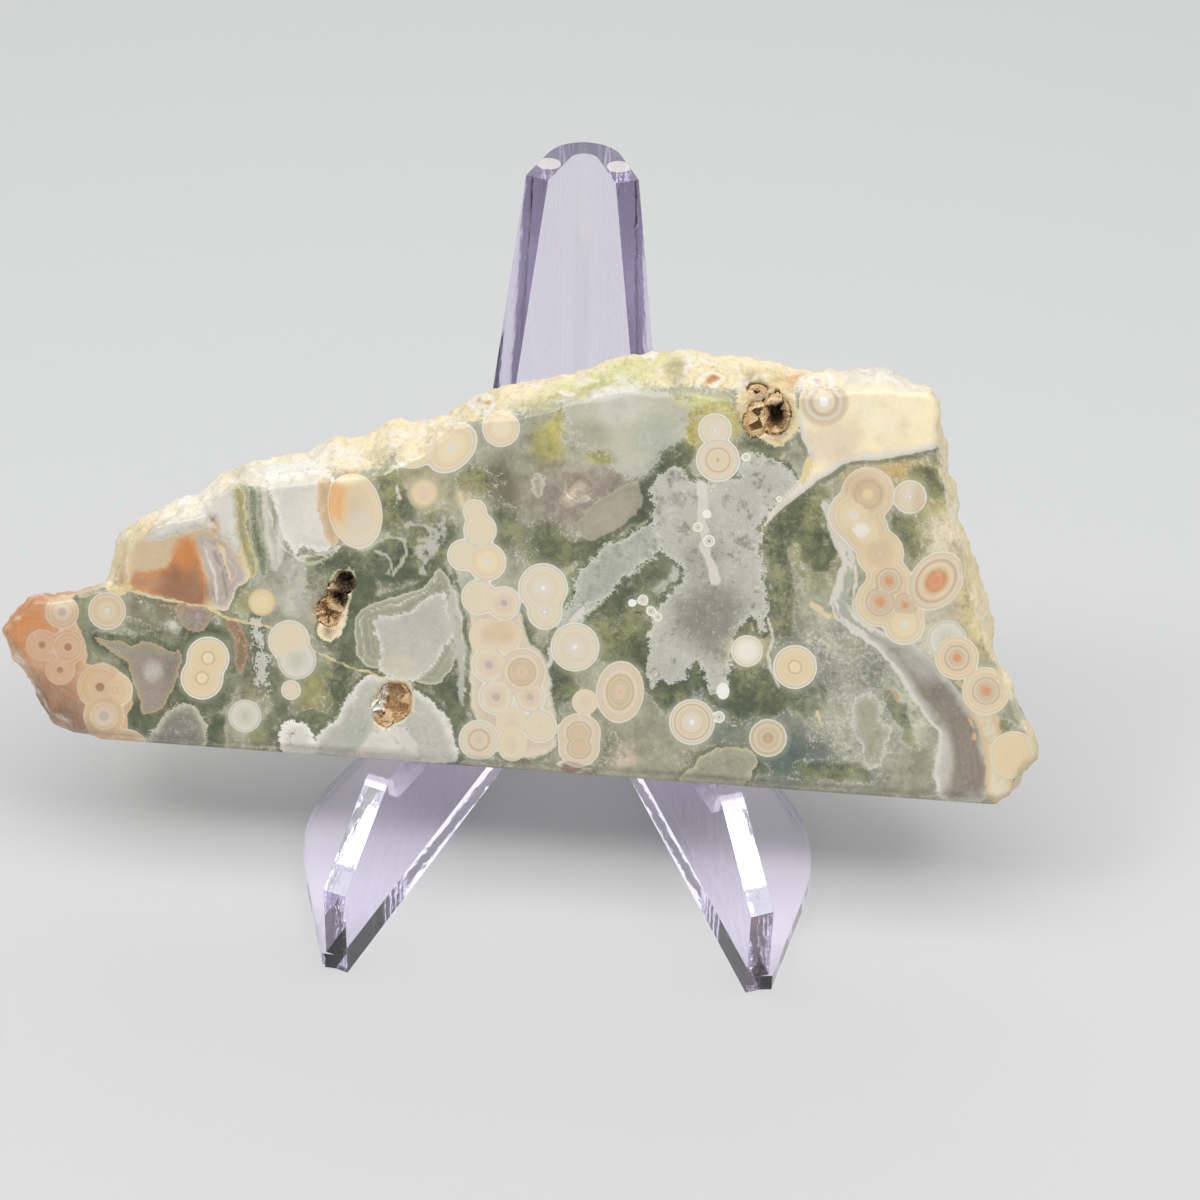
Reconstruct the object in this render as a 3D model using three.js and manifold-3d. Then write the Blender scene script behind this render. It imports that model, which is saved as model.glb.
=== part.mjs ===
// Ocean jasper slab leaning on a clear moulded display easel.
// Millimetres, +Z up, the front looks along -Y. The origin is on the table, under the middle of the
// whole object.

import * as THREE from 'three';
import { mergeVertices } from 'three/addons/utils/BufferGeometryUtils.js';
import Module from 'manifold-3d';

// ---------------------------------------------------------------- driving dimensions: the easel

const EASEL_HEIGHT = 88;
const WALL = 3.1; // thickness of the two upright webs
const NOSE_HALF_SPAN = 27.4; // from the middle to a web's centre plane at its nose
const SPLAY = THREE.MathUtils.degToRad(21.6); // how far each web turns in towards the back
const NOSE_HEIGHT = 13.2; // the upright front of each foot
const LIP_REACH = 12.6; // along the web, from the nose to the lip's top
const LIP_HEIGHT = 22.9;
const LIP_ROUND = 1.1;
const NOTCH_REACH = 15.6; // where the ledge starts behind the lip
const NOTCH_HEIGHT = 18.4;
const NOTCH_ROUND = 1.3;
const LEDGE_FALL = Math.tan(THREE.MathUtils.degToRad(6.5)); // the ledge drops towards the back
const SUPPORT_LEAN = Math.tan(THREE.MathUtils.degToRad(18.3)); // how far the support edges lean back
const SUPPORT_FOOT_DEPTH = 25.55; // where the support edge's line would meet the table
const CORNER_ROUND = 1.5; // between the ledge and the support edge
const SPINE_DEPTH = 59.8; // centre of the round back that joins the webs
const FLANGE = 2.4; // thickness of the foot flange
const ARC_STEPS = 14;

// The foot flange's edge on the right-hand side, from the nose to the back: across, back.
const FLANGE_EDGE = [
  [29.3, 0.3], [31.0, 6.7], [32.7, 13.0], [34.1, 18.7], [34.5, 25.0], [33.6, 31.0],
  [31.4, 36.5], [28.7, 42.0], [25.4, 50.0], [21.2, 57.5], [15.0, 63.5], [7.5, 67.2], [0.0, 68.4],
];

// ---------------------------------------------------------------- driving dimensions: the slab

const SLAB_THICKNESS = 7.5;
const SLAB_LEAN = THREE.MathUtils.degToRad(25);
const SLAB_TURN = THREE.MathUtils.degToRad(-2.2); // it stands a little askew on the easel
const SLAB_FOOT = new THREE.Vector3(0, 17.2, 20.8); // middle of the polished face's lower edge
const CHAMFER = 1.2; // along the sawn lower edge
const SAWN_DROP = 0.45; // the sawn edge is this much lower at the front than at the back
const RIM_STEP = 2.0; // longest side of a facet round the rim
const RIM_LUMP = 0.5; // how far the broken rim's lumps stand out
const LUMP_SIZE = 3.2;

// The polished face's edge where the rim is broken rock: across, up, and how far the rim behind it
// stands out across and up. It runs from the lower right corner over the top to the lower left.
const BROKEN_EDGE = [
  [59.0, 2.0, 1.3, -0.8], [59.5, 4.0, 1.2, -1.0], [61.0, 6.5, 1.7, -1.2], [60.0, 9.5, 2.2, -1.5],
  [58.0, 12.5, 2.0, -1.0], [57.0, 15.5, 1.8, -1.0], [55.0, 19.0, 2.2, -2.0], [53.5, 21.5, 2.5, -3.0],
  [51.5, 26.5, 4.0, -3.5], [50.5, 30.0, 3.4, -2.4], [50.0, 34.0, 2.0, -2.2], [48.5, 35.5, 1.5, 0.0],
  [47.5, 38.0, 2.0, 0.0], [47.0, 40.5, 2.2, 0.0], [46.0, 43.0, 2.0, -0.8], [45.5, 46.5, 2.0, -0.2],
  [45.7, 48.2, 1.1, -0.8], [45.5, 50.5, 0.6, 0.6], [44.5, 52.5, 0.4, 0.4], [42.7, 52.8, -0.4, 0.9],
  [39.5, 52.7, -1.0, 2.4], [35.0, 52.4, 0.8, 2.4], [31.7, 51.6, 1.5, 2.8], [27.0, 51.1, 0.2, 3.1],
  [21.0, 50.0, -0.6, 5.2], [16.7, 50.1, 0.0, 5.2], [13.7, 50.7, 0.0, 5.0], [9.8, 50.0, 0.0, 5.5],
  [5.9, 50.7, -0.6, 3.6], [3.3, 50.0, -0.2, 3.7], [1.0, 48.8, 0.0, 3.9], [-1.0, 48.4, 0.0, 3.3],
  [-3.1, 47.5, -0.6, 3.6], [-5.9, 46.7, -1.1, 3.6], [-7.2, 46.1, -3.2, 3.3], [-9.8, 45.9, -3.7, 2.2],
  [-12.4, 45.6, -3.1, 1.2], [-15.6, 44.5, -1.4, 0.7], [-18.9, 41.1, -2.9, 3.0], [-22.2, 38.6, -2.7, 5.2],
  [-24.3, 37.6, -3.4, 4.1], [-27.0, 37.1, -4.6, 4.1], [-31.3, 36.5, -4.4, 2.7], [-36.6, 35.5, -4.0, 2.4],
  [-40.6, 34.7, -3.0, 2.2], [-43.9, 34.9, -2.7, 0.6], [-46.3, 33.2, -1.7, 0.6], [-47.3, 30.9, -2.6, 1.5],
  [-49.3, 30.3, -2.3, 1.9], [-53.4, 29.3, -3.4, -0.3], [-56.5, 26.9, -3.2, -0.3], [-57.7, 23.6, -2.9, 1.3],
  [-58.8, 20.4, -2.5, 1.0], [-60.6, 20.1, -1.1, -0.4], [-65.0, 18.7, -1.6, -0.7], [-69.7, 17.9, -2.1, -0.8],
  [-72.9, 13.5, -2.5, -0.6], [-70.9, 11.3, -3.7, -0.3], [-70.4, 9.1, -2.9, -0.9], [-68.5, 8.1, -3.7, -1.1],
  [-67.5, 5.6, -2.7, -2.6], [-67.0, 4.0, -1.2, -4.4], [-63.9, 3.1, -1.6, -5.2], [-62.0, 2.2, -1.2, -4.4],
];
// The sawn lower edge, from left to right: across only.
const SAWN_EDGE = [-60.8, -56.0, -30.0, 0.0, 30.0, 45.0, 57.4];

// The rim from the face to the back: depth behind the face, share of the rim's full reach, and how
// much of the lumps shows there.
const RIM_RINGS = [
  [0, 0, 0.15], [0.6, 0.2, 0.5], [CHAMFER, 0.35, 0.9], [3.0, 0.62, 1], [4.8, 0.86, 0.9],
  [6.3, 1, 0.5], [SLAB_THICKNESS, 0.92, 0.3],
];

// Crystal pockets, each a run of overlapping hollows: across, up, depth of the centre behind the
// face, half-sizes across, up and in depth, and turn about the face's normal in degrees.
const POCKETS = {
  pocket_druse_top: [
    [25.3, 48.9, 1.9, 2.3, 2.7, 2.9, 10],
    [22.6, 51.0, 2.6, 1.9, 1.8, 2.0, -25],
    [22.9, 48.2, 0.9, 1.9, 2.6, 1.3, 15],
  ],
  pocket_druse_slit: [
    [-28.9, 23.4, 1.4, 1.6, 1.5, 2.8, 20],
    [-29.9, 21.2, 1.5, 1.3, 2.1, 3.1, -15],
    [-31.0, 19.0, 1.2, 1.7, 2.0, 2.5, -20],
  ],
  pocket_druse_middle: [
    [-21.8, 7.8, 0.9, 2.2, 2.6, 2.3, -10],
    [-23.4, 6.2, 0.4, 1.2, 2.0, 1.3, -35],
  ],
};
// Small bare pits in the face and two chips on its lower edge, in the same terms.
const PITS = [
  [0.5, 37.9, 0.0, 2.3, 1.6, 0.9, 25],
  [-46.7, 30.1, 0.1, 0.8, 0.7, 1.0, 0],
  [-45.7, 27.2, 0.1, 0.6, 1.3, 1.1, 20],
  [1.9, 0.9, 0.1, 1.7, 0.6, 0.7, 12],
  [4.0, 0.1, 0.6, 1.8, 0.6, 0.7, 6],
];
const SWELL = 0.16; // how uneven a hollow's wall is
const SWELLS = 1.7; // and how many swells it has to each half-size
const DRUSE_GAP = 0.3; // between the rock and the crystal crust in it
const DRUSE_BACKING = 0.55; // thickness of the crust under the crystals
const DRUSE_POINT = 0.35; // how far the crystals' points stand up from it
const DRUSE_SET_BACK = 0.4; // the crust ends this far under the rock's surface

// ---------------------------------------------------------------- finishes

const polishedJasper = new THREE.MeshStandardMaterial({ color: 0x9aa38a, roughness: 0.22, metalness: 0 });
const quartzDruse = new THREE.MeshStandardMaterial({ color: 0xb18a5a, roughness: 0.45, metalness: 0 });
const clearPlastic = new THREE.MeshStandardMaterial({
  color: 0xe6e2f2, roughness: 0.08, metalness: 0, transparent: true, opacity: 0.45,
});

// ---------------------------------------------------------------- solids

const wasm = await Module();
wasm.setup();
const MERGE_WITHIN = 1e-4;

function solidOf(geometry) {
  const bare = geometry.clone();
  bare.deleteAttribute('normal');
  bare.deleteAttribute('uv');
  const merged = mergeVertices(bare, MERGE_WITHIN);
  return new wasm.Manifold(new wasm.Mesh({
    numProp: 3,
    vertProperties: Float32Array.from(merged.attributes.position.array),
    triVerts: Uint32Array.from(merged.index.array),
  }));
}

function geometryOf(solid) {
  const mesh = solid.getMesh();
  const geometry = new THREE.BufferGeometry();
  geometry.setAttribute('position', new THREE.BufferAttribute(mesh.vertProperties, 3));
  geometry.setIndex(new THREE.BufferAttribute(mesh.triVerts, 1));
  geometry.computeVertexNormals();
  return geometry;
}

function named(name, geometry, material) {
  const mesh = new THREE.Mesh(geometry, material);
  mesh.name = name;
  return mesh;
}

// ---------------------------------------------------------------- natural roughness

// A fixed value from 0 to 1 for each point of a whole-number lattice.
function latticeValue(i, j, k) {
  let h = Math.imul(i, 374761393) + Math.imul(j, 668265263) + Math.imul(k, 1440662683);
  h = Math.imul(h ^ (h >>> 13), 1274126177);
  return ((h ^ (h >>> 16)) >>> 0) / 4294967295;
}

// Smooth noise from -1 to 1, one lump to each unit of length.
function lumps(x, y, z) {
  const [i, j, k] = [x, y, z].map(Math.floor);
  const [a, b, c] = [x - i, y - j, z - k].map((t) => t * t * (3 - 2 * t));
  const mix = THREE.MathUtils.lerp;
  const row = (dj, dk) => mix(latticeValue(i, j + dj, k + dk), latticeValue(i + 1, j + dj, k + dk), a);
  return 2 * mix(mix(row(0, 0), row(1, 0), b), mix(row(0, 1), row(1, 1), b), c) - 1;
}

// ---------------------------------------------------------------- the slab's body
// In the slab's own axes: x across, y from the face into the stone, z up the face.

// The edge all the way round, anticlockwise from the front, with no side over RIM_STEP long on
// broken rock: { at, reach, sawn }.
function slabEdge() {
  const stations = BROKEN_EDGE.map(([x, z, dx, dz]) => (
    { at: new THREE.Vector2(x, z), reach: new THREE.Vector2(dx, dz), sawn: false }
  ));
  const edge = [];
  for (let n = 0; n + 1 < stations.length; n += 1) {
    const [from, to] = [stations[n], stations[n + 1]];
    const steps = Math.ceil(from.at.distanceTo(to.at) / RIM_STEP);
    for (let s = 0; s < steps; s += 1) {
      edge.push({
        at: from.at.clone().lerp(to.at, s / steps),
        reach: from.reach.clone().lerp(to.reach, s / steps),
        sawn: false,
      });
    }
  }
  edge.push(stations.at(-1));
  for (const x of SAWN_EDGE) {
    edge.push({ at: new THREE.Vector2(x, CHAMFER), reach: new THREE.Vector2(0, 0), sawn: true });
  }
  return edge;
}

// How low the stone reaches at a depth behind the face.
function lowest(depth) {
  return -SAWN_DROP * (SLAB_THICKNESS - depth) / (SLAB_THICKNESS - CHAMFER);
}

// The outward direction of the edge at station n.
function outwards(edge, n) {
  const before = edge[(n + edge.length - 1) % edge.length].at;
  const after = edge[(n + 1) % edge.length].at;
  return new THREE.Vector2(after.y - before.y, before.x - after.x).normalize();
}

function slabGeometry() {
  const edge = slabEdge();
  const count = edge.length;
  const positions = [];
  for (const [depth, share, roughness] of RIM_RINGS) {
    edge.forEach((station, n) => {
      const point = station.at.clone().addScaledVector(station.reach, share);
      if (station.sawn) {
        const bevelled = THREE.MathUtils.mapLinear(depth, 0, CHAMFER, CHAMFER, lowest(CHAMFER));
        point.y = Math.max(bevelled, lowest(depth));
      } else {
        const lump = lumps(point.x / LUMP_SIZE, depth / LUMP_SIZE, point.y / LUMP_SIZE);
        point.addScaledVector(outwards(edge, n), lump * roughness * RIM_LUMP);
        point.y = Math.max(point.y, lowest(depth));
      }
      positions.push(point.x, depth, point.y);
    });
  }
  const triangles = [];
  for (let ring = 0; ring + 1 < RIM_RINGS.length; ring += 1) {
    for (let n = 0; n < count; n += 1) {
      const next = (n + 1) % count;
      const [a, b] = [ring * count + n, ring * count + next];
      triangles.push(a, a + count, b, b, a + count, b + count);
    }
  }
  const capOf = (ring) => {
    const outline = edge.map((_, n) => {
      const at = 3 * (ring * count + n);
      return new THREE.Vector2(positions[at], positions[at + 2]);
    });
    return THREE.ShapeUtils.triangulateShape(outline, []);
  };
  for (const [a, b, c] of capOf(0)) triangles.push(a, b, c);
  const last = (RIM_RINGS.length - 1) * count;
  for (const [a, b, c] of capOf(RIM_RINGS.length - 1)) triangles.push(last + a, last + c, last + b);
  const geometry = new THREE.BufferGeometry();
  geometry.setAttribute('position', new THREE.BufferAttribute(new Float32Array(positions), 3));
  geometry.setIndex(triangles);
  return geometry;
}

// ---------------------------------------------------------------- hollows and their crystals

// A lumpy egg shape, shrunk by inset. With points, every corner is pushed in or out by up to that
// much, which leaves small flat-sided crystals on it.
function hollow([x, z, depth, across, up, inwards, turn], inset, points, detail) {
  const shape = new THREE.IcosahedronGeometry(1, detail);
  shape.deleteAttribute('normal');
  shape.deleteAttribute('uv');
  const geometry = mergeVertices(shape, MERGE_WITHIN);
  const corners = geometry.attributes.position;
  const half = new THREE.Vector3(across, inwards, up);
  const corner = new THREE.Vector3();
  for (let n = 0; n < corners.count; n += 1) {
    corner.fromBufferAttribute(corners, n);
    const place = corner.clone().multiplyScalar(SWELLS);
    const swell = 1 + SWELL * lumps(place.x + x, place.y + depth, place.z + z);
    const prick = points * (2 * latticeValue(n, Math.round(x * 10), Math.round(z * 10)) - 1);
    const size = half.clone().multiplyScalar(swell).addScalar(prick - inset);
    corners.setXYZ(n, corner.x * size.x, corner.y * size.y, corner.z * size.z);
  }
  geometry.rotateY(THREE.MathUtils.degToRad(turn));
  geometry.translate(x, depth, z);
  return solidOf(geometry);
}

function hollows(list, inset, points, detail) {
  return list.map((one) => hollow(one, inset, points, detail)).reduce((a, b) => a.add(b));
}

const ROCK_DETAIL = 2;
const CRYSTAL_DETAIL = 3;

function crust(list, rock) {
  const outside = hollows(list, DRUSE_GAP, 0, ROCK_DETAIL);
  const inside = hollows(list, DRUSE_GAP + DRUSE_BACKING, DRUSE_POINT, CRYSTAL_DETAIL);
  return outside.subtract(inside).intersect(rock);
}

const body = slabGeometry();
const setBack = body.clone().translate(0, DRUSE_SET_BACK, -DRUSE_SET_BACK);

let jasper = solidOf(body);
for (const list of [...Object.values(POCKETS), PITS]) {
  jasper = jasper.subtract(hollows(list, 0, 0, ROCK_DETAIL));
}

const stone = new THREE.Group();
stone.add(named('jasper_slab', geometryOf(jasper), polishedJasper));
for (const [name, list] of Object.entries(POCKETS)) {
  stone.add(named(name, geometryOf(crust(list, solidOf(setBack))), quartzDruse));
}
stone.rotation.x = -SLAB_LEAN;

const leaningStone = new THREE.Group();
leaningStone.add(stone);
leaningStone.position.copy(SLAB_FOOT);
leaningStone.rotation.z = SLAB_TURN;

// ---------------------------------------------------------------- the easel

const SPINE_RADIUS = Math.abs(SPINE_DEPTH * Math.sin(SPLAY) - NOSE_HALF_SPAN * Math.cos(SPLAY));
const WEB_LENGTH = NOSE_HALF_SPAN * Math.sin(SPLAY) + SPINE_DEPTH * Math.cos(SPLAY);

// One web from the side: along the web, up.
function webShape() {
  const ledge = (reach) => NOTCH_HEIGHT - LEDGE_FALL * (reach - NOTCH_REACH);
  const support = (height) => (SUPPORT_FOOT_DEPTH + SUPPORT_LEAN * height) / Math.cos(SPLAY);
  const corner = (SUPPORT_FOOT_DEPTH + SUPPORT_LEAN * (NOTCH_HEIGHT + LEDGE_FALL * NOTCH_REACH))
    / (Math.cos(SPLAY) + SUPPORT_LEAN * LEDGE_FALL);
  const slant = Math.atan2(LIP_HEIGHT - NOSE_HEIGHT, LIP_REACH);
  const shape = new THREE.Shape();
  shape.moveTo(0, 0);
  shape.lineTo(0, NOSE_HEIGHT);
  shape.absarc(LIP_REACH, LIP_HEIGHT - LIP_ROUND, LIP_ROUND, slant + Math.PI / 2, 0, true);
  shape.lineTo(NOTCH_REACH - NOTCH_ROUND, NOTCH_HEIGHT + NOTCH_ROUND);
  shape.quadraticCurveTo(NOTCH_REACH - NOTCH_ROUND, NOTCH_HEIGHT, NOTCH_REACH, NOTCH_HEIGHT);
  shape.lineTo(corner - CORNER_ROUND, ledge(corner - CORNER_ROUND));
  const above = ledge(corner) + CORNER_ROUND;
  shape.quadraticCurveTo(corner, ledge(corner), support(above), above);
  shape.lineTo(support(EASEL_HEIGHT), EASEL_HEIGHT);
  shape.lineTo(WEB_LENGTH, EASEL_HEIGHT);
  shape.lineTo(WEB_LENGTH, 0);
  shape.closePath();
  return shape;
}

// Stands a side shape, extruded to its width, along the web on one side: 1 right, -1 left. From
// sets where the extrusion starts, out from the web's centre plane.
function alongWeb(shape, side, from, width, steps = ARC_STEPS) {
  const geometry = new THREE.ExtrudeGeometry(shape, { depth: width, bevelEnabled: false, curveSegments: steps });
  const along = new THREE.Vector3(-side * Math.sin(SPLAY), Math.cos(SPLAY), 0);
  const across = new THREE.Vector3(Math.cos(SPLAY), side * Math.sin(SPLAY), 0);
  const start = side > 0 ? from : -from - width;
  const frame = new THREE.Matrix4().makeBasis(along, new THREE.Vector3(0, 0, 1), across);
  frame.setPosition(side * NOSE_HALF_SPAN + across.x * start, across.y * start, 0);
  return solidOf(geometry.applyMatrix4(frame));
}

// The round back: a sector of a ring, as tall as the easel.
function spine() {
  const [outer, inner] = [SPINE_RADIUS + WALL / 2, SPINE_RADIUS - WALL / 2];
  const shape = new THREE.Shape();
  shape.absarc(0, SPINE_DEPTH, outer, SPLAY, Math.PI - SPLAY, false);
  shape.absarc(0, SPINE_DEPTH, inner, Math.PI - SPLAY, SPLAY, true);
  shape.closePath();
  return solidOf(new THREE.ExtrudeGeometry(shape, {
    depth: EASEL_HEIGHT, bevelEnabled: false, curveSegments: ARC_STEPS,
  }));
}

// The flat foot that reaches out from the webs and round the back.
function flange() {
  const right = new THREE.SplineCurve(FLANGE_EDGE.map(([x, y]) => new THREE.Vector2(x, y)));
  const edge = right.getPoints(3 * ARC_STEPS);
  const mirrored = edge.slice(0, -1).reverse().map((p) => new THREE.Vector2(-p.x, p.y));
  const innerHalf = NOSE_HALF_SPAN - WALL / 4;
  const innerDepth = innerHalf / Math.tan(SPLAY);
  const reach = WEB_LENGTH * Math.cos(SPLAY) / innerDepth;
  const inner = [
    new THREE.Vector2(-innerHalf, 0),
    new THREE.Vector2(-innerHalf * (1 - reach), innerDepth * reach),
    new THREE.Vector2(0, SPINE_DEPTH + SPINE_RADIUS),
    new THREE.Vector2(innerHalf * (1 - reach), innerDepth * reach),
    new THREE.Vector2(innerHalf, 0),
  ];
  const shape = new THREE.Shape([...edge, ...mirrored, ...inner]);
  return solidOf(new THREE.ExtrudeGeometry(shape, { depth: FLANGE, bevelEnabled: false }));
}

const easel = [
  alongWeb(webShape(), 1, -WALL / 2, WALL),
  alongWeb(webShape(), -1, -WALL / 2, WALL),
  spine(),
  flange(),
].reduce((a, b) => a.add(b));

// ---------------------------------------------------------------- the whole object

const display = new THREE.Group();
display.add(named('display_easel', geometryOf(easel), clearPlastic));
display.add(leaningStone);

const middle = new THREE.Box3().setFromObject(display).getCenter(new THREE.Vector3());
display.position.set(-middle.x, -middle.y, 0);

export default display;
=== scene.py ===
"""An ocean jasper slab on its clear display easel: finishes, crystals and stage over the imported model."""

import itertools
import math
from collections import namedtuple

import bmesh
import bpy
import numpy as np
from bpy.props import FloatProperty, FloatVectorProperty, IntProperty, PointerProperty
from mathutils import Matrix, Vector
from mathutils.bvhtree import BVHTree


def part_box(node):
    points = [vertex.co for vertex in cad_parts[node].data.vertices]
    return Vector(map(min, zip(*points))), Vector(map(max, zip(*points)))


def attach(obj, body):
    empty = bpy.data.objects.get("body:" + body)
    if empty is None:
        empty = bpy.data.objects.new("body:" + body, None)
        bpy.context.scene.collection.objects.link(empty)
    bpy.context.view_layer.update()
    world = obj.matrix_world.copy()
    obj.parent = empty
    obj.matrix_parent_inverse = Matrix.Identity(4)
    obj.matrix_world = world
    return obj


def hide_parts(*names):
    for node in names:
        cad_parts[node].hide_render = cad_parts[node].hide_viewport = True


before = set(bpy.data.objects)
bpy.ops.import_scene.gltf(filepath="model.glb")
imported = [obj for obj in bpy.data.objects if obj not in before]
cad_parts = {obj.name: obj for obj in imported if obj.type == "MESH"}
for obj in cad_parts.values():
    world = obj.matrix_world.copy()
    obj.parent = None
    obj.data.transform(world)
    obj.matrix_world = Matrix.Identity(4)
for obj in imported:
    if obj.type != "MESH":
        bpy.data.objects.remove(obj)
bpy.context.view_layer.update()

bl_info = {
    "name": "Ocean jasper slab",
    "version": (1, 0, 0),
    "blender": (4, 5, 0),
    "location": "3D View > Sidebar > Jasper",
    "description": "Finishes an ocean jasper slab, its crystal pockets and its clear display easel",
    "category": "Object",
}

MM = 0.001  # metres

# ---------------------------------------------------------------- the view

PICTURE = 1200.0  # the picture is this many pixels across and down
FOCAL_PIXELS = 3000.0
SENSOR = 36.0
PITCH = math.radians(36.27)  # the camera looks this far down
YAW = math.radians(1.70)
ROLL = math.radians(-1.71)
DISTANCE = 354.63  # mm from the camera to the point it looks at
AIM = (5.49, 61.60)  # that point, mm right of the easel's middle and above the table
PIXELS_PER_MM = 7.75  # on the polished face

# ---------------------------------------------------------------- the slab's own axes

LEAN = math.radians(25.0)  # how far the slab leans back
TURN = math.radians(-2.2)  # and how far it is turned about the upright axis
FOOT = (0.0, 17.2, 20.8)  # middle of the polished face's lower edge, mm from the easel's own origin
WEB_WALL = 3.1  # mm
WEB_SPLAY = math.radians(21.6)  # between each web of the easel and straight ahead


def easel_origin():
    """The easel's own origin, on the table between the two noses, in metres."""
    low, high = (Vector(corner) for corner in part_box("display_easel"))
    front = WEB_WALL / 2 * math.sin(WEB_SPLAY) * MM  # how far a nose's corner stands before that origin
    return Vector(((low.x + high.x) / 2, low.y + front, 0.0))


def turned(x, y, angle):
    """Two level coordinates, or two across a picture, turned by an angle."""
    return x * math.cos(angle) - y * math.sin(angle), x * math.sin(angle) + y * math.cos(angle)


class SlabAxes:
    """Right, up the face and into the stone, in mm from the middle of the face's lower edge."""

    def __init__(self):
        back = Vector((-math.sin(TURN), math.cos(TURN), 0.0))
        right = Vector((math.cos(TURN), math.sin(TURN), 0.0))
        up = math.sin(LEAN) * back + math.cos(LEAN) * Vector((0, 0, 1))
        inward = math.cos(LEAN) * back - math.sin(LEAN) * Vector((0, 0, 1))
        self.rows = np.array([right, up, inward])
        self.foot = np.array(easel_origin()) + np.array(FOOT) * MM

    def inside(self, world):
        return (world - self.foot) @ self.rows.T / MM

    def outside(self, local):
        return local * MM @ self.rows + self.foot


def picture_place(world):
    """Where points given in metres fall in the main camera's picture, in pixels from its top left."""
    place = (world - np.array(easel_origin())) / MM
    x, y = turned(place[:, 0], place[:, 1], -YAW)
    x = x - AIM[0]
    z = place[:, 2] - AIM[1]
    depth = DISTANCE + y * math.cos(PITCH) - z * math.sin(PITCH)
    up = z * math.cos(PITCH) + y * math.sin(PITCH)
    across, above = turned(x, up, ROLL)
    return PICTURE / 2 + FOCAL_PIXELS * across / depth, PICTURE / 2 - FOCAL_PIXELS * above / depth


# ---------------------------------------------------------------- small tools for fields over the stone

SCRAMBLE = (73856093, 19349663, 83492791, 50331653)  # large odd numbers that mix a corner's place and a seed
STIR = 1274126177  # another, for the second mixing
OCTAVE_SHIFT = 31.7  # keeps the lattices of two octaves apart
OCTAVE_FALL = 0.55  # strength of an octave, as a share of the one before


def lattice(ix, iy, iz, seed):
    """A fixed number from -1 to 1 for each corner of a lattice."""
    mixed = (ix * SCRAMBLE[0]) ^ (iy * SCRAMBLE[1]) ^ (iz * SCRAMBLE[2]) ^ (seed * SCRAMBLE[3])
    mixed = ((mixed ^ (mixed >> 13)) * STIR) & 0xFFFFFFFF
    return ((mixed ^ (mixed >> 15)) & 0xFFFF) / 32767.5 - 1.0


def swell(points, size, seed, octaves=3):
    """Smooth unevenness from about -1 to 1, whose swells are `size` apart and carry finer ones."""
    total = np.zeros(len(points))
    strength = 1.0
    for octave in range(octaves):
        place = points / size * 2**octave + OCTAVE_SHIFT * (octave + 1)
        base = np.floor(place).astype(np.int64)
        part = place - base
        part = part * part * (3 - 2 * part)
        for corner in itertools.product((0, 1), repeat=3):
            share = np.prod(np.where(np.array(corner) == 1, part, 1 - part), axis=1)
            total += strength * share * lattice(*(base + corner).T, seed + octave)
        strength *= OCTAVE_FALL
    return total


def ramp(value, low, high):
    """0 below low, 1 above high, and a smooth rise between them."""
    t = np.clip((value - low) / (high - low), 0.0, 1.0)
    return t * t * (3 - 2 * t)


def blend(under, over, share):
    return under + (np.asarray(over) - under) * share[:, None]


def line_distance(px, py, points, closed=False):
    """The distance to a run of straight lines."""
    ends = points[1:] + points[:1] if closed else points[1:]
    best = np.full(px.shape, np.inf)
    for (ax, ay), (bx, by) in zip(points, ends):
        ex, ey = bx - ax, by - ay
        size = math.hypot(ex, ey)
        along = np.clip(((px - ax) * ex + (py - ay) * ey) / (size * size), 0, 1)
        away = np.hypot(px - ax - along * ex, py - ay - along * ey)
        best = np.minimum(best, away)
    return best


def rounded(outline):
    """A closed outline with its corners cut off."""
    shares = (0.25, 0.75)
    pairs = list(zip(outline, outline[1:] + outline[:1]))
    return [(ax + (bx - ax) * t, ay + (by - ay) * t) for (ax, ay), (bx, by) in pairs for t in shares]


def inside_distance(px, py, outline):
    """How far each point is inside a closed outline, negative outside it."""
    away = line_distance(px, py, outline, closed=True)
    inside = np.zeros(px.shape, dtype=bool)
    for (ax, ay), (bx, by) in zip(outline, outline[1:] + outline[:1]):
        crosses = (ay > py) != (by > py)
        rise = by - ay or 1e-9  # a level side crosses nothing
        inside ^= crosses & (px < (bx - ax) * (py - ay) / rise + ax)
    return np.where(inside, away, -away)


# ---------------------------------------------------------------- colours of the stone

# As they look on a screen, red green blue from 0 to 255.
PALETTE = {
    "moss": (110, 115, 84),
    "deep_moss": (82, 90, 66),
    "soft_moss": (134, 135, 103),
    "pale_moss": (164, 163, 136),
    "olive": (156, 150, 98),
    "bright_olive": (178, 170, 106),
    "teal": (98, 110, 100),
    "grey_green": (158, 156, 132),
    "pale_green": (188, 189, 164),
    "smoke": (186, 185, 170),
    "blue_grey": (188, 188, 174),
    "milk": (218, 211, 197),
    "snow": (240, 237, 226),
    "ivory": (222, 207, 177),
    "taupe": (152, 147, 122),
    "dark_taupe": (122, 114, 92),
    "tan": (190, 162, 126),
    "beige": (206, 182, 146),
    "cream": (224, 202, 161),
    "butter": (243, 226, 187),
    "lemon": (224, 204, 150),
    "peach": (212, 175, 133),
    "deep_peach": (200, 152, 114),
    "orange": (204, 134, 78),
    "rust": (152, 110, 80),
    "brown": (116, 88, 68),
    "coral": (214, 148, 106),
    "rose": (215, 195, 171),
    "lilac": (184, 170, 158),
    "lilac_grey": (156, 141, 128),
    "plum": (138, 126, 112),
    "slate": (128, 127, 114),
    "mist": (170, 172, 156),
    "lime": (216, 212, 150),
    "apricot": (228, 176, 116),
    "ochre": (196, 168, 112),
    "gold_moss": (200, 184, 88),
}


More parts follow.
